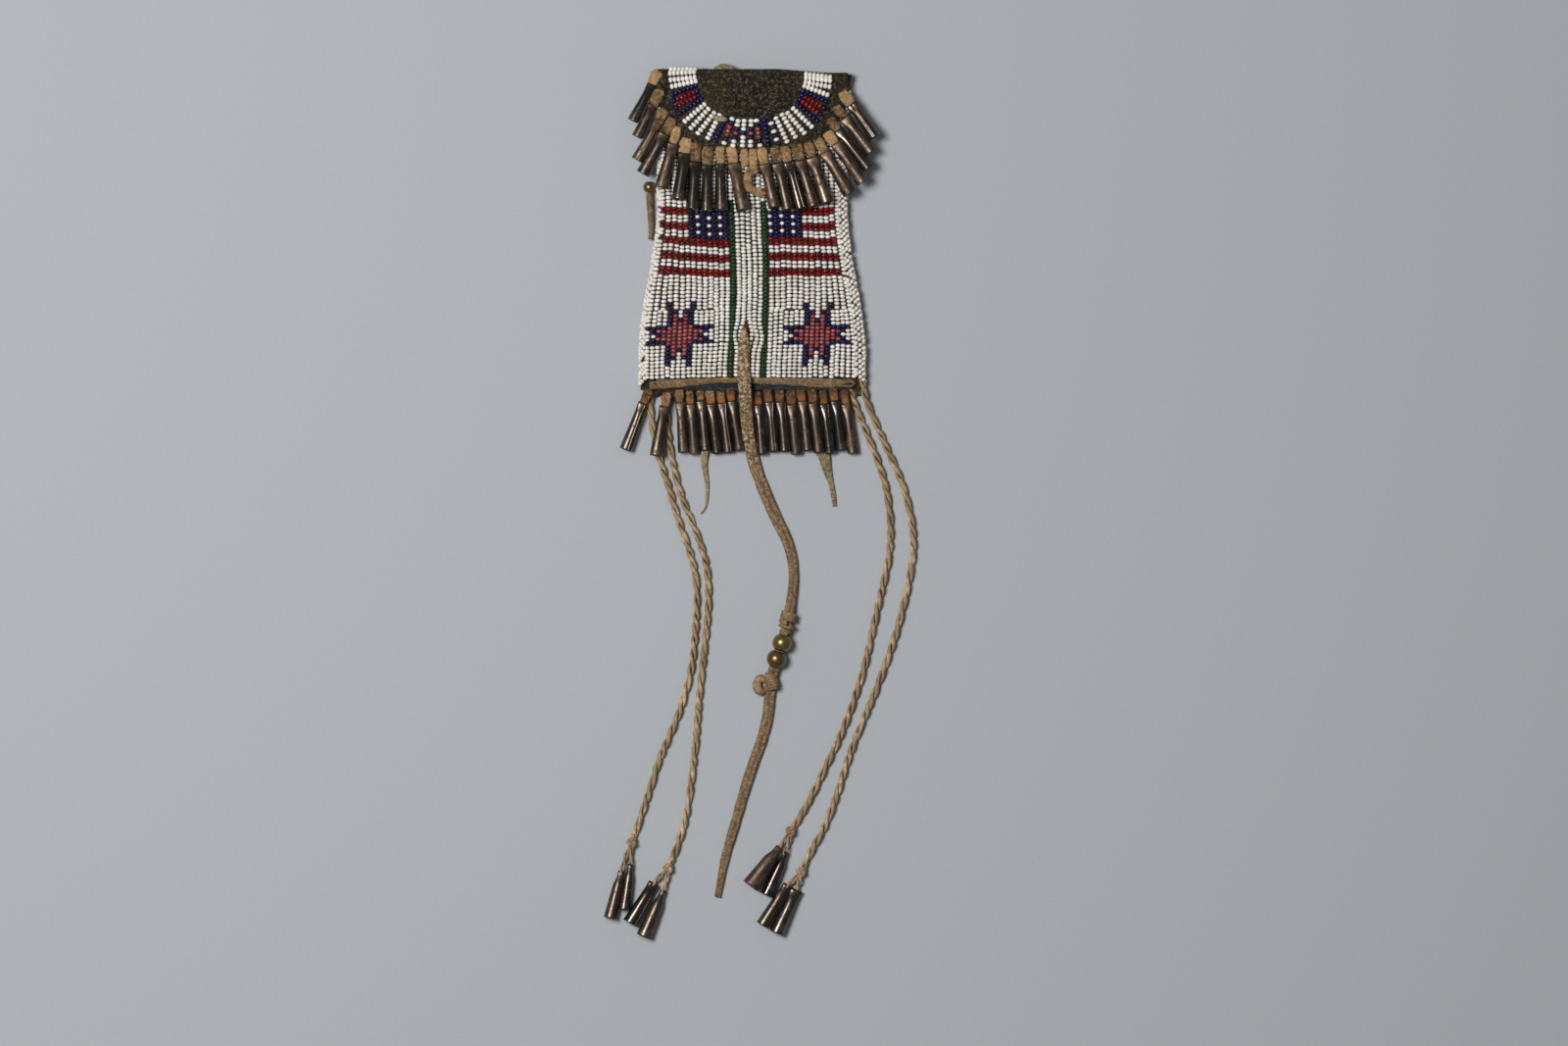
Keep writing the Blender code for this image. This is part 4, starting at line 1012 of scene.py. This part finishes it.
def hinged_cones(frame):
    """Each hinged cone's node, with its top, its mouth's middle and its mouth's width."""
    joints = {j["child"]: j for j in frame["joints"]}
    made = []
    for name, obj in sorted(frame["nodes"].items()):
        if "_cone_" not in name:
            continue
        joint = joints[name + "_body"]
        top = Vector(joint["pos_m"]) / MM
        axis = Vector(joint["axis"])
        along = Vector((-axis.y, axis.x, 0)).normalized()
        points = [obj.matrix_world @ v.co / MM for v in obj.data.vertices]
        reach = [(p - top).dot(along) for p in points]
        end = max(r for r in reach if r < CONE_REACH + 1.2)
        rim = [p for p, r in zip(points, reach) if abs(r - end) < RIM_DEPTH]
        low, high = (Vector([f(p[i] for p in rim) for i in range(3)]) for f in (min, max))
        middle = (low + high) / 2
        sideways = Vector((along.y, -along.x, 0))
        spread = [(p - middle).dot(sideways) for p in rim]
        made.append((name, top, middle, max(spread) - min(spread), along))
    return made


def distance_to_flap(top, along):
    """How far back from a cone's top the flap's hide starts."""
    edge = [flap_edge(math.pi * (k / 90 - 0.5)) for k in range(91)]
    for step in range(60):
        point = top - along * step * 0.15
        _, low = min(edge, key=lambda place: abs(place[0] - point.x))
        if abs(point.x) < HALF_TOP and point.y > low:
            return step * 0.15
    return 0.0


def add_strip(shape, mouth, along, places):
    """A strip of hide that hangs out of a cone. places are X, Y and width from its mouth."""
    route = [Vector((mouth.x + x, mouth.y + y, max(mouth.z * (1 + y / 9), 0.5)))
             for x, y, _ in places]
    route = smooth_route([mouth - along * 3.0] + route, 1.0)
    widths = [(y, width) for _, y, width in places]
    rings = []
    for point, _, across, up in frames_along(route):
        width = between(widths, point.y - mouth.y)
        rings.append(ring_at(point, across, up, flat_section(width, STRIP_THICK)))
    shape.loft(rings, marks=toned(1.6 - 0.5 * places[0][2]))


def add_hinged_cones(frame, metal, pale, rng):
    """The cones of the flap and of the fringe, each on its own body, with its tab."""
    flap_tabs, hem_tabs = Shape(), Shape()
    for index, (name, top, mouth, width, along) in enumerate(hinged_cones(frame)):
        shape = Shape()
        on_flap = name.startswith("flap")
        level = CONE_TOP_LIFT + (0 if on_flap else SECOND_LIFT * (index % 2))
        start = top + along * 0.2 + Vector((0, 0, level))
        if not on_flap:
            mouth = mouth + along * FRINGE_LONGER
        mouth.z = max(mouth.z, width / 2 + 0.35)
        add_cone(shape, start, mouth, width * (1.06 if on_flap else 1.03), rng,
                 None if on_flap else rng.uniform(3.15, 3.42))
        shape.build(name + "_rolled", metal, name + "_body", "tin", [name])
        if on_flap:
            reach = max(FLAP_TAB[0], 1.0 + distance_to_flap(top, along))
            add_tab(flap_tabs, top, along, rng, (reach, FLAP_TAB[1]),
                    (-0.25, 0.35) if rng.random() < 0.7 else (0.6, 0.95))
        else:
            # Hem tabs take darker tones than the flap's: painted shade from the pouch above them.
            add_tab(hem_tabs, top, along, rng, HEM_TAB, (-0.75, 0.1),
                    rng.uniform(0.1, 0.95), -0.3 + 0.4 * (index % 2))
        if name in STRIPS:
            strip = Shape()
            add_strip(strip, mouth, along, STRIPS[name])
            strip.build(name + "_strip", pale, name + "_body", "tan_hide")
    return flap_tabs, hem_tabs


# Thongs

def cord_route(name):
    """The twisted thong's line, in millimetres, as its CAD solid has it."""
    points = []
    for index, (x, y) in enumerate(CORD_ROUTES[name]):
        rise = START_RISE * max(0.0, 1 - index / 3) if name == "right_outer" else 0
        points.append((x, y, CORD / 2 + CORD_LIFT + rise))
    return smooth_route(points, CORD_STEP)


def lay_plies(shape, fine, rng, thickness, lay, taper=0.0):
    """Two plies of rolled hide laid round each other along the fine path."""
    frames = frames_along(fine)
    length = route_length(fine)
    phase, seed = rng.uniform(0, math.tau), rng.uniform(0, 50)
    for ply in (0, 1):
        path, sizes, outs = [], [], []
        for index, (point, along, across, up) in enumerate(frames):
            run = length * index / (len(frames) - 1)
            turn = run + 3.0 * wander(run, seed, 12.0, 1.0) + 1.2 * wander(run, seed, 4.6, 4.0)
            angle = phase + math.pi * ply + math.tau * turn / lay
            size = thickness * (PLY_SHARE + 0.1 * wander(run, 9.0 * ply + seed, 4.2, 2.0))
            size *= 1 - taper * index / len(frames)
            close = thickness / 2 - size - 0.02
            out = across * math.cos(angle) + up * math.sin(angle)
            path.append(point + out * close)
            sizes.append(size)
            outs.append(out)
        rings = []
        for (point, along, across, up), size, out in zip(frames_along(path), sizes, outs):
            side = along.cross(out)
            rings.append([point + out * (0.86 * size * math.cos(math.tau * k / PLY_SIDES))
                          + side * (1.05 * size * math.sin(math.tau * k / PLY_SIDES))
                          for k in range(PLY_SIDES)])
        step = length / (len(frames) - 1)
        # The crown mark runs from 1 on a ply's outer side to 0 on its inner side: it drives the
        # painted highlight and groove shade.
        shape.loft(rings, marks=lambda r, k, ply=ply: {
            "crown": 0.5 + 0.5 * math.cos(math.tau * k / PLY_SIDES), "along": r * step,
            "around": abs(k - PLY_SIDES / 2), "tone": ply + seed})


def add_twisted_thong(name, material, rng):
    """One of the four twisted thongs."""
    fine = smooth_route(cord_route(name), 0.5)
    shape = Shape()
    lay_plies(shape, fine, rng, CORD, CORD_LAY)
    node = "twisted_thong_" + name
    obj = shape.build(node + "_plies", material, ROOT, "thong", [node])
    fine[0] * MM
    route_length(fine) * MM
    [p * MM for p in fine[::4] + ([fine[-1]] if (len(fine) - 1) % 4 else [])]


def add_pendant(name, hide, metal, rng):
    """The knot at a thong's end, its strands and the cones on them."""
    (kx, ky), cones = PENDANTS[name]
    cord = cord_route(name)
    heading = (cord[-1] - cord[-2]).normalized()
    centre = Vector((kx, ky, KNOT_HEIGHT))
    knot = Shape()
    side = Vector((heading.y, -heading.x, 0))
    lay_plies(knot, smooth_route([cord[-1] - heading * 0.8, cord[-1].lerp(centre, 0.5),
                                  centre + heading * 0.8], 0.5), rng, 2.5, CORD_LAY)
    loop = []
    for step in range(61):
        turn = math.tau * step / 60
        reach = 2 + 0.9 * math.cos(3 * turn)
        a, b = reach * math.cos(2 * turn) * 0.46, reach * math.sin(2 * turn) * 0.50
        loop.append(centre + side * a + heading * b + Vector((0, 0, 0.9 * math.sin(3 * turn))))
    # The knot's loop gets a high crown mark, so it takes the painted highlight nearly all over.
    sweep(knot, loop, lambda s: round_section(0.66, 8, 0.9),
          marks=lambda r, k: {"crown": 0.85, "along": r * 0.4, "around": abs(k - 4)})
    tin = Shape()
    for top, mouth, crimp, width in cones:
        top, mouth = Vector((*top, PENDANT_HEIGHT)), Vector((*mouth, width / 2 + 0.3))
        run = (mouth - top).normalized()
        strand = smooth_route([centre + heading * 0.4, centre.lerp(top, 0.5)
                               + side * rng.uniform(-0.35, 0.35), top + run * 1.6], 0.5)
        lay_plies(knot, strand, rng, 1.9, 9.0, 0.25)
        add_cone(tin, top, mouth, width, rng, crimp)
    return [knot.build("knot_" + name, hide, ROOT, "thong"),
            tin.build("pendant_" + name, metal, ROOT, "tin", ["pendant_cones_" + name])]


def wrap(shape, centre, along, radius, turns, pitch, width, thick, start, tone):
    """A strip wound round a thong."""
    along = Vector((along.x, along.y, 0)).normalized()
    across = along.cross(UP)
    centre = Vector((centre.x, centre.y, max(centre.z, radius + thick / 2 + 0.1)))
    rings = []
    for step in range(int(turns * 16) + 1):
        angle = start + math.tau * step / 16
        point = (centre + along * pitch * (step / 16 - turns / 2)
                 + across * math.cos(angle) * radius + UP * math.sin(angle) * radius)
        middle = centre + along * (point - centre).dot(along)
        out = (point - middle).normalized()
        rings.append(ring_at(point, along, out, flat_section(width, thick)))
    shape.loft(rings, marks=toned(tone))


def point_near(route, y):
    """The route's point at that height in the picture, and its direction there."""
    index = min(range(1, len(route) - 1), key=lambda i: abs(route[i].y - y))
    return route[index], (route[index + 1] - route[index - 1]).normalized()


def brass_bead(name, centre, along, width, tone, material, replaces):
    """A turned bead: nearly round, with a hole that shows at its ends."""
    shape = Shape()
    along = along.normalized()
    across = along.cross(UP).normalized()
    up = across.cross(along)
    hole = width * 0.24
    outside = [(width / 2 * math.sin(math.pi * step / 14) ** 0.85,
                -0.47 * math.cos(math.pi * step / 14)) for step in range(1, 14)]
    profile = [(hole * 0.9, -0.3), (hole, -0.405)]
    profile += [place for place in outside if place[0] >= hole * 0.89]
    profile += [(hole, 0.405), (hole * 0.9, 0.3)]
    rings = [[centre + along * y * width + (across * math.cos(math.tau * k / 24)
                                            + up * math.sin(math.tau * k / 24)) * r
              for k in range(24)] for r, y in profile]
    shape.loft(rings, ends=False, marks=toned(tone))
    return shape.build(name, material, ROOT, "brass", replaces)


def add_tie_thong(hide, brass):
    """The flat thong through the front, its two knots and its two beads."""
    route = smooth_route([(x, y, z + TIE_LIFT) for x, y, z in TIE_ROUTE], 3.6)
    route = smooth_route(route, 1.0)
    rings, shares = [], []
    for index, (point, along, across, up) in enumerate(frames_along(route)):
        width = between(TIE_WIDTHS, point.y) * (1 + 0.07 * wander(index, 1.0, 3.5))
        thick = TIE_THICK * (0.9 + 0.12 * wander(index, 5.0, 4.0))
        thick *= 0.55 + 0.45 * smooth_step(width / 3.2)
        twist = 0.02 * wander(index, 8.0, 5.0)
        section = [(a, b + a * twist) for a, b in flat_section(width, thick, 0.49, 4)]
        rings.append(ring_at(point, across, up, section))
        shares.append([2 * a / width for a, _ in section])
    shape = Shape()
    shape.loft(rings, marks=lambda r, k: {"along": float(r), "across": shares[r][k]})
    strap = shape.build("tie_thong_hide", strap_hide(), ROOT, "thong", ["tie_thong"])
    knots = Shape()
    for y, lean, *sizes in TIE_WRAPS:
        place, along = point_near(route, y)
        wrap(knots, place, along + Vector((lean, 0, 0)), *sizes)
    loop = []
    centre = Vector((3.4, -161.9, 1.75))
    for step in range(33):
        angle = math.radians(38 + 290 * step / 32)
        loop.append(centre + Vector((1.8 * math.cos(angle), 2.35 * math.sin(angle),
                                     0.4 * math.sin(2 * angle))))
    sweep(knots, loop, lambda s: flat_section(2.9 - 0.4 * math.cos(math.tau * s), 1.9, 0.48),
          marks=toned(0.9))
    knotted = knots.build("tie_thong_knots", hide, ROOT, "thong")
    for name, y, tone in (("tie_bead_upper", -147.3, 0.1), ("tie_bead_lower", -153.2, 0.85)):
        place, along = point_near(route, y)
        brass_bead(name + "_brass", place, along, BRASS_BEAD, tone, brass,
                                [name])
    route[0] * MM
    route_length(route) * MM
    [p * MM for p in route]


# Hide

def flap_edge(angle):
    """The flap's round edge, a little fuller half way between its point and its sides."""
    across, down = math.sin(angle), max(math.cos(angle), 0.0)
    full = 1 + FLAP_FULLER * math.sin(2 * angle) ** 2
    x = HALF_TOP * math.copysign(abs(across) ** FLAP_ROUNDNESS, across)
    depth = FLAP_SHOULDER + (FLAP_REACH - FLAP_SHOULDER) * down ** FLAP_ROUNDNESS
    return x * full, TOP - depth * full


def bend_at_fold(obj):
    """Bakes a piece's transform into its mesh."""
    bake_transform(obj)


def sheet(shape, columns, rows, place, thick, marks=None):
    """A closed sheet of hide: place gives its upper surface."""
    def add(point):
        return shape.add(point, **(marks(point) if marks else {}))

    upper = [[place(c / columns, r / rows) for c in range(columns + 1)]
             for r in range(rows + 1)]
    grid = [[add(point) for point in row] for row in upper]
    under = []
    for r, row in enumerate(upper):
        line = []
        for c, p in enumerate(row):
            right = row[min(c + 1, columns)] - row[max(c - 1, 0)]
            ahead = upper[min(r + 1, rows)][c] - upper[max(r - 1, 0)][c]
            normal = right.cross(ahead)
            normal = normal.normalized() if normal.length > 1e-6 else Vector((0, 0, -1))
            line.append(add(p + normal * thick))
        under.append(line)
    for r in range(rows):
        for c in range(columns):
            shape.faces.append((grid[r][c], grid[r + 1][c], grid[r + 1][c + 1],
                                grid[r][c + 1]))
            shape.faces.append((under[r][c], under[r][c + 1], under[r + 1][c + 1],
                                under[r + 1][c]))
    rim = [(r, 0) for r in range(rows)] + [(rows, c) for c in range(columns)]
    rim += [(r, columns) for r in range(rows, 0, -1)] + [(0, c) for c in range(columns, 0, -1)]
    for (r0, c0), (r1, c1) in zip(rim, rim[1:] + rim[:1]):
        shape.faces.append((grid[r0][c0], under[r0][c0], under[r1][c1], grid[r1][c1]))


def add_flap_hide(material):
    """One sheet from the back, over the fold, to the flap's round edge."""
    shape = Shape()
    fold = [(-0.1, 3.0), (0.1, 4.6), (0.12, 6.2), (-0.05, 7.6), (-0.5, 8.6), (-1.2, 9.15)]
    inward, crest = fold[-1]
    rows, fold_rows = 30, len(fold)

    def place(u, v):
        row = round(v * rows)
        x = HALF_TOP * math.sin(math.pi * (u - 0.5))
        edge_x, edge_y = flap_edge(math.pi * (u - 0.5))
        top = fold_line(x)
        drop = FACE_HEIGHT - face_height(x, TOP)
        rough = wander(x, row, 3.0, 5.0)
        if row < fold_rows:
            out, height = fold[row]
            return Vector((x, top + out + 0.2 * rough, height * (1 - drop / crest)))
        share = (row - fold_rows + 1) / (rows - fold_rows + 1)
        x += (edge_x - x) * share
        y = top + inward + (edge_y - top - inward) * share
        x += 0.35 * wander(x, y, 4.0, 1.0) * share
        y += 0.35 * wander(x, y, 3.0, 2.0) * share
        lift = 0.14 * wander(x, y, 7.0, 3.0) + 0.06 * wander(x, y, 2.0, 4.0)
        return Vector((x, y, face_height(x, y) + FLAP_LIFT + lift - fold_drop(x, y)))

    sheet(shape, 96, rows, place, FLAP_HIDE)
    bend_at_fold(shape.build("flap_suede", material, None, "dark_hide", ["flap_hide"]))


def add_pouch_hide(tan, backing_gap_shade):
    """Back sheet turned up behind the fold, front sheet under the beads, and the sides."""
    back = Shape()

    def back_place(u, v):
        y = BOTTOM - 0.2 + (TOP - 0.2 - BOTTOM) * v
        x = (2 * u - 1) * (half_width(y) - 0.7)
        return Vector((x, y, BACK_FACE + 0.1 * wander(x, y, 8.0, 1.0)))

    def turned_up(u, v):
        x = (2 * u - 1) * (HALF_TOP - 0.8)
        y = fold_line(x) - 1.2 + 0.1 * wander(x, v, 4.0)
        return Vector((x, y, BACK_FACE + (face_height(x, TOP) - 0.5 - BACK_FACE) * v))

    sheet(back, 30, 44, back_place, -HIDE)
    sheet(back, 30, 4, turned_up, HIDE)
    back.build("back_hide", tan, ROOT, "tan_hide", ["pouch_back"])
    sides = Shape()
    for side in (-1, 1):
        def wall(u, v, side=side):
            y = BOTTOM + (TOP - 1.4 - BOTTOM) * v
            out = half_width(y) - 2.4 + 0.5 * math.sin(math.pi * u)
            return Vector((side * out, y, 0.95 + 3.4 * u))
        sheet(sides, 4, 40, wall, 0.5 * side)
    sides.build("side_hide", tan, ROOT, "tan_hide",
                ["side_beading_left", "side_beading_right"])
    front = Shape()

    def front_place(u, v):
        y = BOTTOM + (FRONT_TOP - BOTTOM) * v
        x = (2 * u - 1) * (half_width(y) - 1.7)
        return Vector((x, y, face_height(x, y) - 1.5))

    sheet(front, 40, 50, front_place, -HIDE)
    # The front sheet's dark colour is partly painted shade for the gaps between the beads.
    front.build("front_hide", backing_gap_shade, ROOT, "dark_hide", ["pouch_front"])


def hem_drop(x):
    """How the hem falls towards its ends, from 0 to about 1."""
    return (abs(x) / 36) ** 4


def add_hem(tan, lining, shaded):
    """The hem's tan strip, the dark strip below it and the torn hide at its corners."""
    band = Shape()

    def band_place(u, v):
        x = -36.2 + 72.6 * u
        end = 1.6 * max((x - 34.6) / 1.8, 0.0) ** 2
        top = between(HEM_TOP_LINE, x) + 0.25 * wander(x, 0, 3.5, 4.0) - end * 0.6
        low = between(HEM_LOW_LINE, x) + 0.4 * wander(x, 0, 4.5, 7.0) + end * 0.6
        y = top + (low - top) * v
        z = 6.35 + 0.35 * math.sin(math.pi * v) + 0.2 * wander(x, y, 3.0, 6.0)
        return Vector((x, y, z - 1.9 * hem_drop(x) - 0.4 * v * v))

    sheet(band, 110, 7, band_place, 0.9)

    def fall_place(u, v):
        x = -35.6 + 71.4 * u
        return Vector((x, -56.4 - 0.5 * v, 4.9 - 4.3 * v - hem_drop(x) * (1 - v)))

    sheet(band, 48, 5, fall_place, 0.7)
    band.build("hem_strip", tan, ROOT, "tan_hide", ["bottom_hem"])
    strip = Shape()

    def strip_place(u, v):
        x = -34.5 + 69.5 * u
        middle = math.exp(-((x + 8) / 10) ** 2)
        low = -58.1 - 0.7 * middle + 0.5 * wander(x, 2, 3.0, 7.0)
        ends = smooth_step((35.2 - abs(x - 0.25)) / 6)
        y = -56.0 + (low + 56.0) * v * (0.1 + 0.9 * ends)
        return Vector((x, y, 5.35 - 0.5 * v + 0.25 * wander(x, y, 2.0, 8.0)))

    sheet(strip, 110, 4, strip_place, 0.6)
    strip.build("lining_edge", lining, ROOT, "lining", ["hem_lining"])
    corners = Shape()

    def corner_place(u, v):
        x = 35.4 + 4.9 * u - 0.9 * v
        y = -53.2 - 7.6 * v * (1 - 0.12 * u)
        return Vector((x + 0.3 * wander(x, y, 2.0, 2.0), y + 0.3 * wander(x, y, 2.0, 9.0),
                       4.0 - 1.2 * u - 2.2 * v))

    sheet(corners, 10, 14, corner_place, 0.6)

    def torn_place(u, v):
        x = -39.2 + 4.6 * u
        y = -54.4 - (4.6 - 3.6 * abs(u - 0.3)) * v
        return Vector((x + 0.4 * wander(x, y, 1.2, 3.5), y + 0.5 * wander(x, y, 1.2, 9.5),
                       2.9 - 1.3 * v))

    sheet(corners, 12, 10, torn_place, 0.6)

    def inner_place(u, v):
        x = -34.2 + 7.4 * u
        y = -57.6 - (3.4 - 1.2 * math.sin(5 * u)) * v
        return Vector((x, y + 0.4 * wander(x, y, 1.4, 2.5), 4.3 - 2.6 * v))

    sheet(corners, 16, 8, inner_place, 0.6)
    corners.build("corner_hide", shaded, ROOT, "dark_hide")


def add_flap_corner(pale, shaded):
    """The torn corner at the right of the fold and the pale scrap on the beadwork."""
    torn = Shape()

    def torn_place(u, v):
        x = 32.4 + (2.6 - 1.1 * v) * u
        y = 52.6 - 5.6 * v + 0.5 * wander(u * 4, v * 5, 1.0, 3.0)
        return Vector((x, y, 7.0 - 2.4 * u - 0.4 * v))

    sheet(torn, 8, 14, torn_place, 0.6)
    torn.build("flap_corner", shaded, FLAP, "dark_hide")
    scrap = Shape()
    path = smooth_route([(-13.9, 37.6, 10.3), (-12.0, 37.2, 11.3), (-10.2, 36.9, 11.2),
                         (-8.8, 36.7, 10.4)], 0.5)
    sweep(scrap, path, lambda s: flat_section(0.5 + 1.5 * math.sin(0.2 + 2.6 * s), 0.5),
          marks=toned(0.6))
    scrap.build("flap_scrap", pale, FLAP, "tan_hide")


def add_small_thongs(tan, pale, hide, brass, rng):
    """The curl on the flap, the thong at the left side and the bump behind the fold."""
    curl = Shape()
    height = FACE_HEIGHT + 1.9
    route = [(1.7, 19.3), (0.0, 19.0), (-1.2, 17.6), (-1.6, 15.4), (-1.2, 13.2), (0.4, 11.8),
             (2.4, 11.2), (4.9, 11.5)]
    path = smooth_route([(x, y, height + 0.5 * math.sin(i)) for i, (x, y) in enumerate(route)],
                        0.6)
    sweep(curl, path, lambda s: [(a, b + 0.12 * math.sin(9 * s)) for a, b in
                                 flat_section(3.3 - 0.5 * s + 0.35 * math.sin(17 * s), 1.8,
                                              0.48, 4)],
          marks=lambda r, k: {"tone": 0.25 + 0.3 * math.sin(r)})
    for x, low, width in ((-2.7, 20.4, 2.9), (0.3, 19.6, 3.0)):
        tab = smooth_route([(x, 26.2, height - 0.6), (x, 24.6, height), (x + 0.1, 22.4, height),
                            (x + 0.2, low, height - 0.3)], 0.7)
        sweep(curl, tab, lambda s, width=width: flat_section(
            width * (0.85 + 0.2 * math.sin(math.pi * s)), 1.5, 0.47, 4),
            marks=toned(rng.uniform(0.2, 0.6)))
    curl.build("flap_curl", tan, FLAP, "thong", ["flap_loop"])
    side = Shape()
    route = [(-36.2, 15.2, 2.4), (-36.2, 11.6, 2.4), (-36.0, 7.0, 2.4), (-35.7, 2.0, 2.4),
             (-35.6, -2.0, 2.4), (-35.9, -5.2, 2.2)]
    sweep(side, smooth_route(route, 0.8),
          lambda s: [(a, b * 0.85) for a, b in round_section(1.2 - 0.5 * s * s, 10)],
          marks=lambda r, k: {"tone": 0.5 + 0.3 * math.sin(r)})
    side.build("side_thong_hide", hide, ROOT, "thong", ["side_thong"])
    brass_bead("side_bead_brass", Vector((-36.2, 13.2, 2.45)), Vector((0, -1, 0)), 4.3,
               0.8, brass, ["side_bead"])
    bump = Shape()

    def bump_place(u, v):
        x = -14.0 + 9.0 * u
        high = 2.3 * max(math.sin(math.pi * u ** 0.85), 0.0) ** 0.8
        y = 53.3 + (0.9 + high) * v + 0.25 * wander(x, v * 3, 1.4, 5.0)
        return Vector((x, y, 6.6 - 2.4 * v * v + 0.7 * wander(x, v * 3, 1.6, 8.0)))

    sheet(bump, 36, 8, bump_place, -0.7, lambda p: {"tone": 0.35 + 0.5 * wander(p.x, p.y, 2.0)})
    bump.build("back_thong_loop", pale, ROOT, "thong")


# Stage

def add_camera():
    data = bpy.data.cameras.new("camera")
    data.sensor_width = SENSOR
    data.lens = SENSOR * CAMERA_HEIGHT / (PHOTO_WIDTH * PIXEL)
    data.clip_start = 0.05
    data.clip_end = 20.0
    camera = add_object("camera", data)
    camera.location = (VIEW_CENTRE[0] * MM, VIEW_CENTRE[1] * MM, CAMERA_HEIGHT * MM)
    bpy.context.scene.camera = camera


def add_stage():
    floor = Shape()
    ends = (-FLOOR_REACH, FLOOR_REACH)
    floor.loft([[Vector((x, y, FLOOR_LEVEL)) for x in ends] for y in ends], closed=False,
               ends=False)
    floor.build("table", table_paper())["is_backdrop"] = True
    data = bpy.data.lights.new("key", "AREA")
    data.shape = "SQUARE"
    data.size = LAMP_SIZE
    data.energy = LAMP_POWER
    lamp = add_object("key", data)
    lamp.location = LAMP_PLACE
    lamp.rotation_mode = "QUATERNION"
    lamp.rotation_quaternion = (Vector(LAMP_AIM) - lamp.location).to_track_quat("-Z", "Y")
    world = bpy.data.worlds.new("room")
    world.use_nodes = True
    background = world.node_tree.nodes["Background"]
    background.inputs["Color"].default_value = ROOM_COLOUR
    background.inputs["Strength"].default_value = ROOM_STRENGTH
    bpy.context.scene.world = world
    bpy.context.scene.view_settings.view_transform = "Standard"


def corners():
    return [list(corner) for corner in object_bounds()]


def main():
    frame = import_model()
    rng = random.Random(11)
    add_camera()
    metal, brass = rolled_tin(), old_brass()
    tan, tabs, thong_hide, dark, shaded, pale, backing_gap_shade, lining = [
        suede(name, *looks) for name, looks in SUEDES.items()]
    twisted = twisted_hide()
    for name in PENDANTS:
        pieces = add_pendant(name, twisted, metal, rng)
        add_twisted_thong(name, twisted, rng)
    add_tie_thong(thong_hide, brass)
    flap_tabs, hem_tabs = add_hinged_cones(frame, metal, pale, rng)
    flap_tabs.build("flap_tabs", tabs, FLAP, "tan_hide")
    hem_tabs.build("hem_tabs", tabs, ROOT, "tan_hide")
    add_flap_hide(dark)
    add_flap_corner(pale, shaded)
    add_pouch_hide(tan, backing_gap_shade)
    add_hem(tan, lining, shaded)
    add_small_thongs(tabs, pale, thong_hide, brass, rng)

    glass = {colour: bead_glass(colour + "_glass", *looks) for colour, looks in GLASSES.items()}
    tree, bead = bead_tree(), bead_mesh()
    middle_row = LANES * LANE_BEADS // 2
    upper = string_front(range(FIRST_ROW, middle_row), rng)
    lower = string_front(range(middle_row, LANES * LANE_BEADS), rng)
    edges = {"white": string_edges(rng)}
    for prefix, body, nodes, sets in (("upper", ROOT, ["front_beadwork"], upper),
                                      ("lower", ROOT, [], lower), ("edge", ROOT, [], edges),
                                      ("flap", FLAP, ["flap_beadwork"], string_ring(rng))):
        for colour, beads in sets.items():
            if not beads.places:
                continue
            white = colour == "white"
            bends = white and body == FLAP
            made = beads.build(prefix + "_beads_" + colour, tree, bead, glass[colour],
                               None if bends else body, "white_beads" if white else None,
                               nodes if white else [])
            if bends:
                bend_at_fold(made)
    bpy.data.objects.remove(bead, do_unlink=True)

    add_stage()


main()
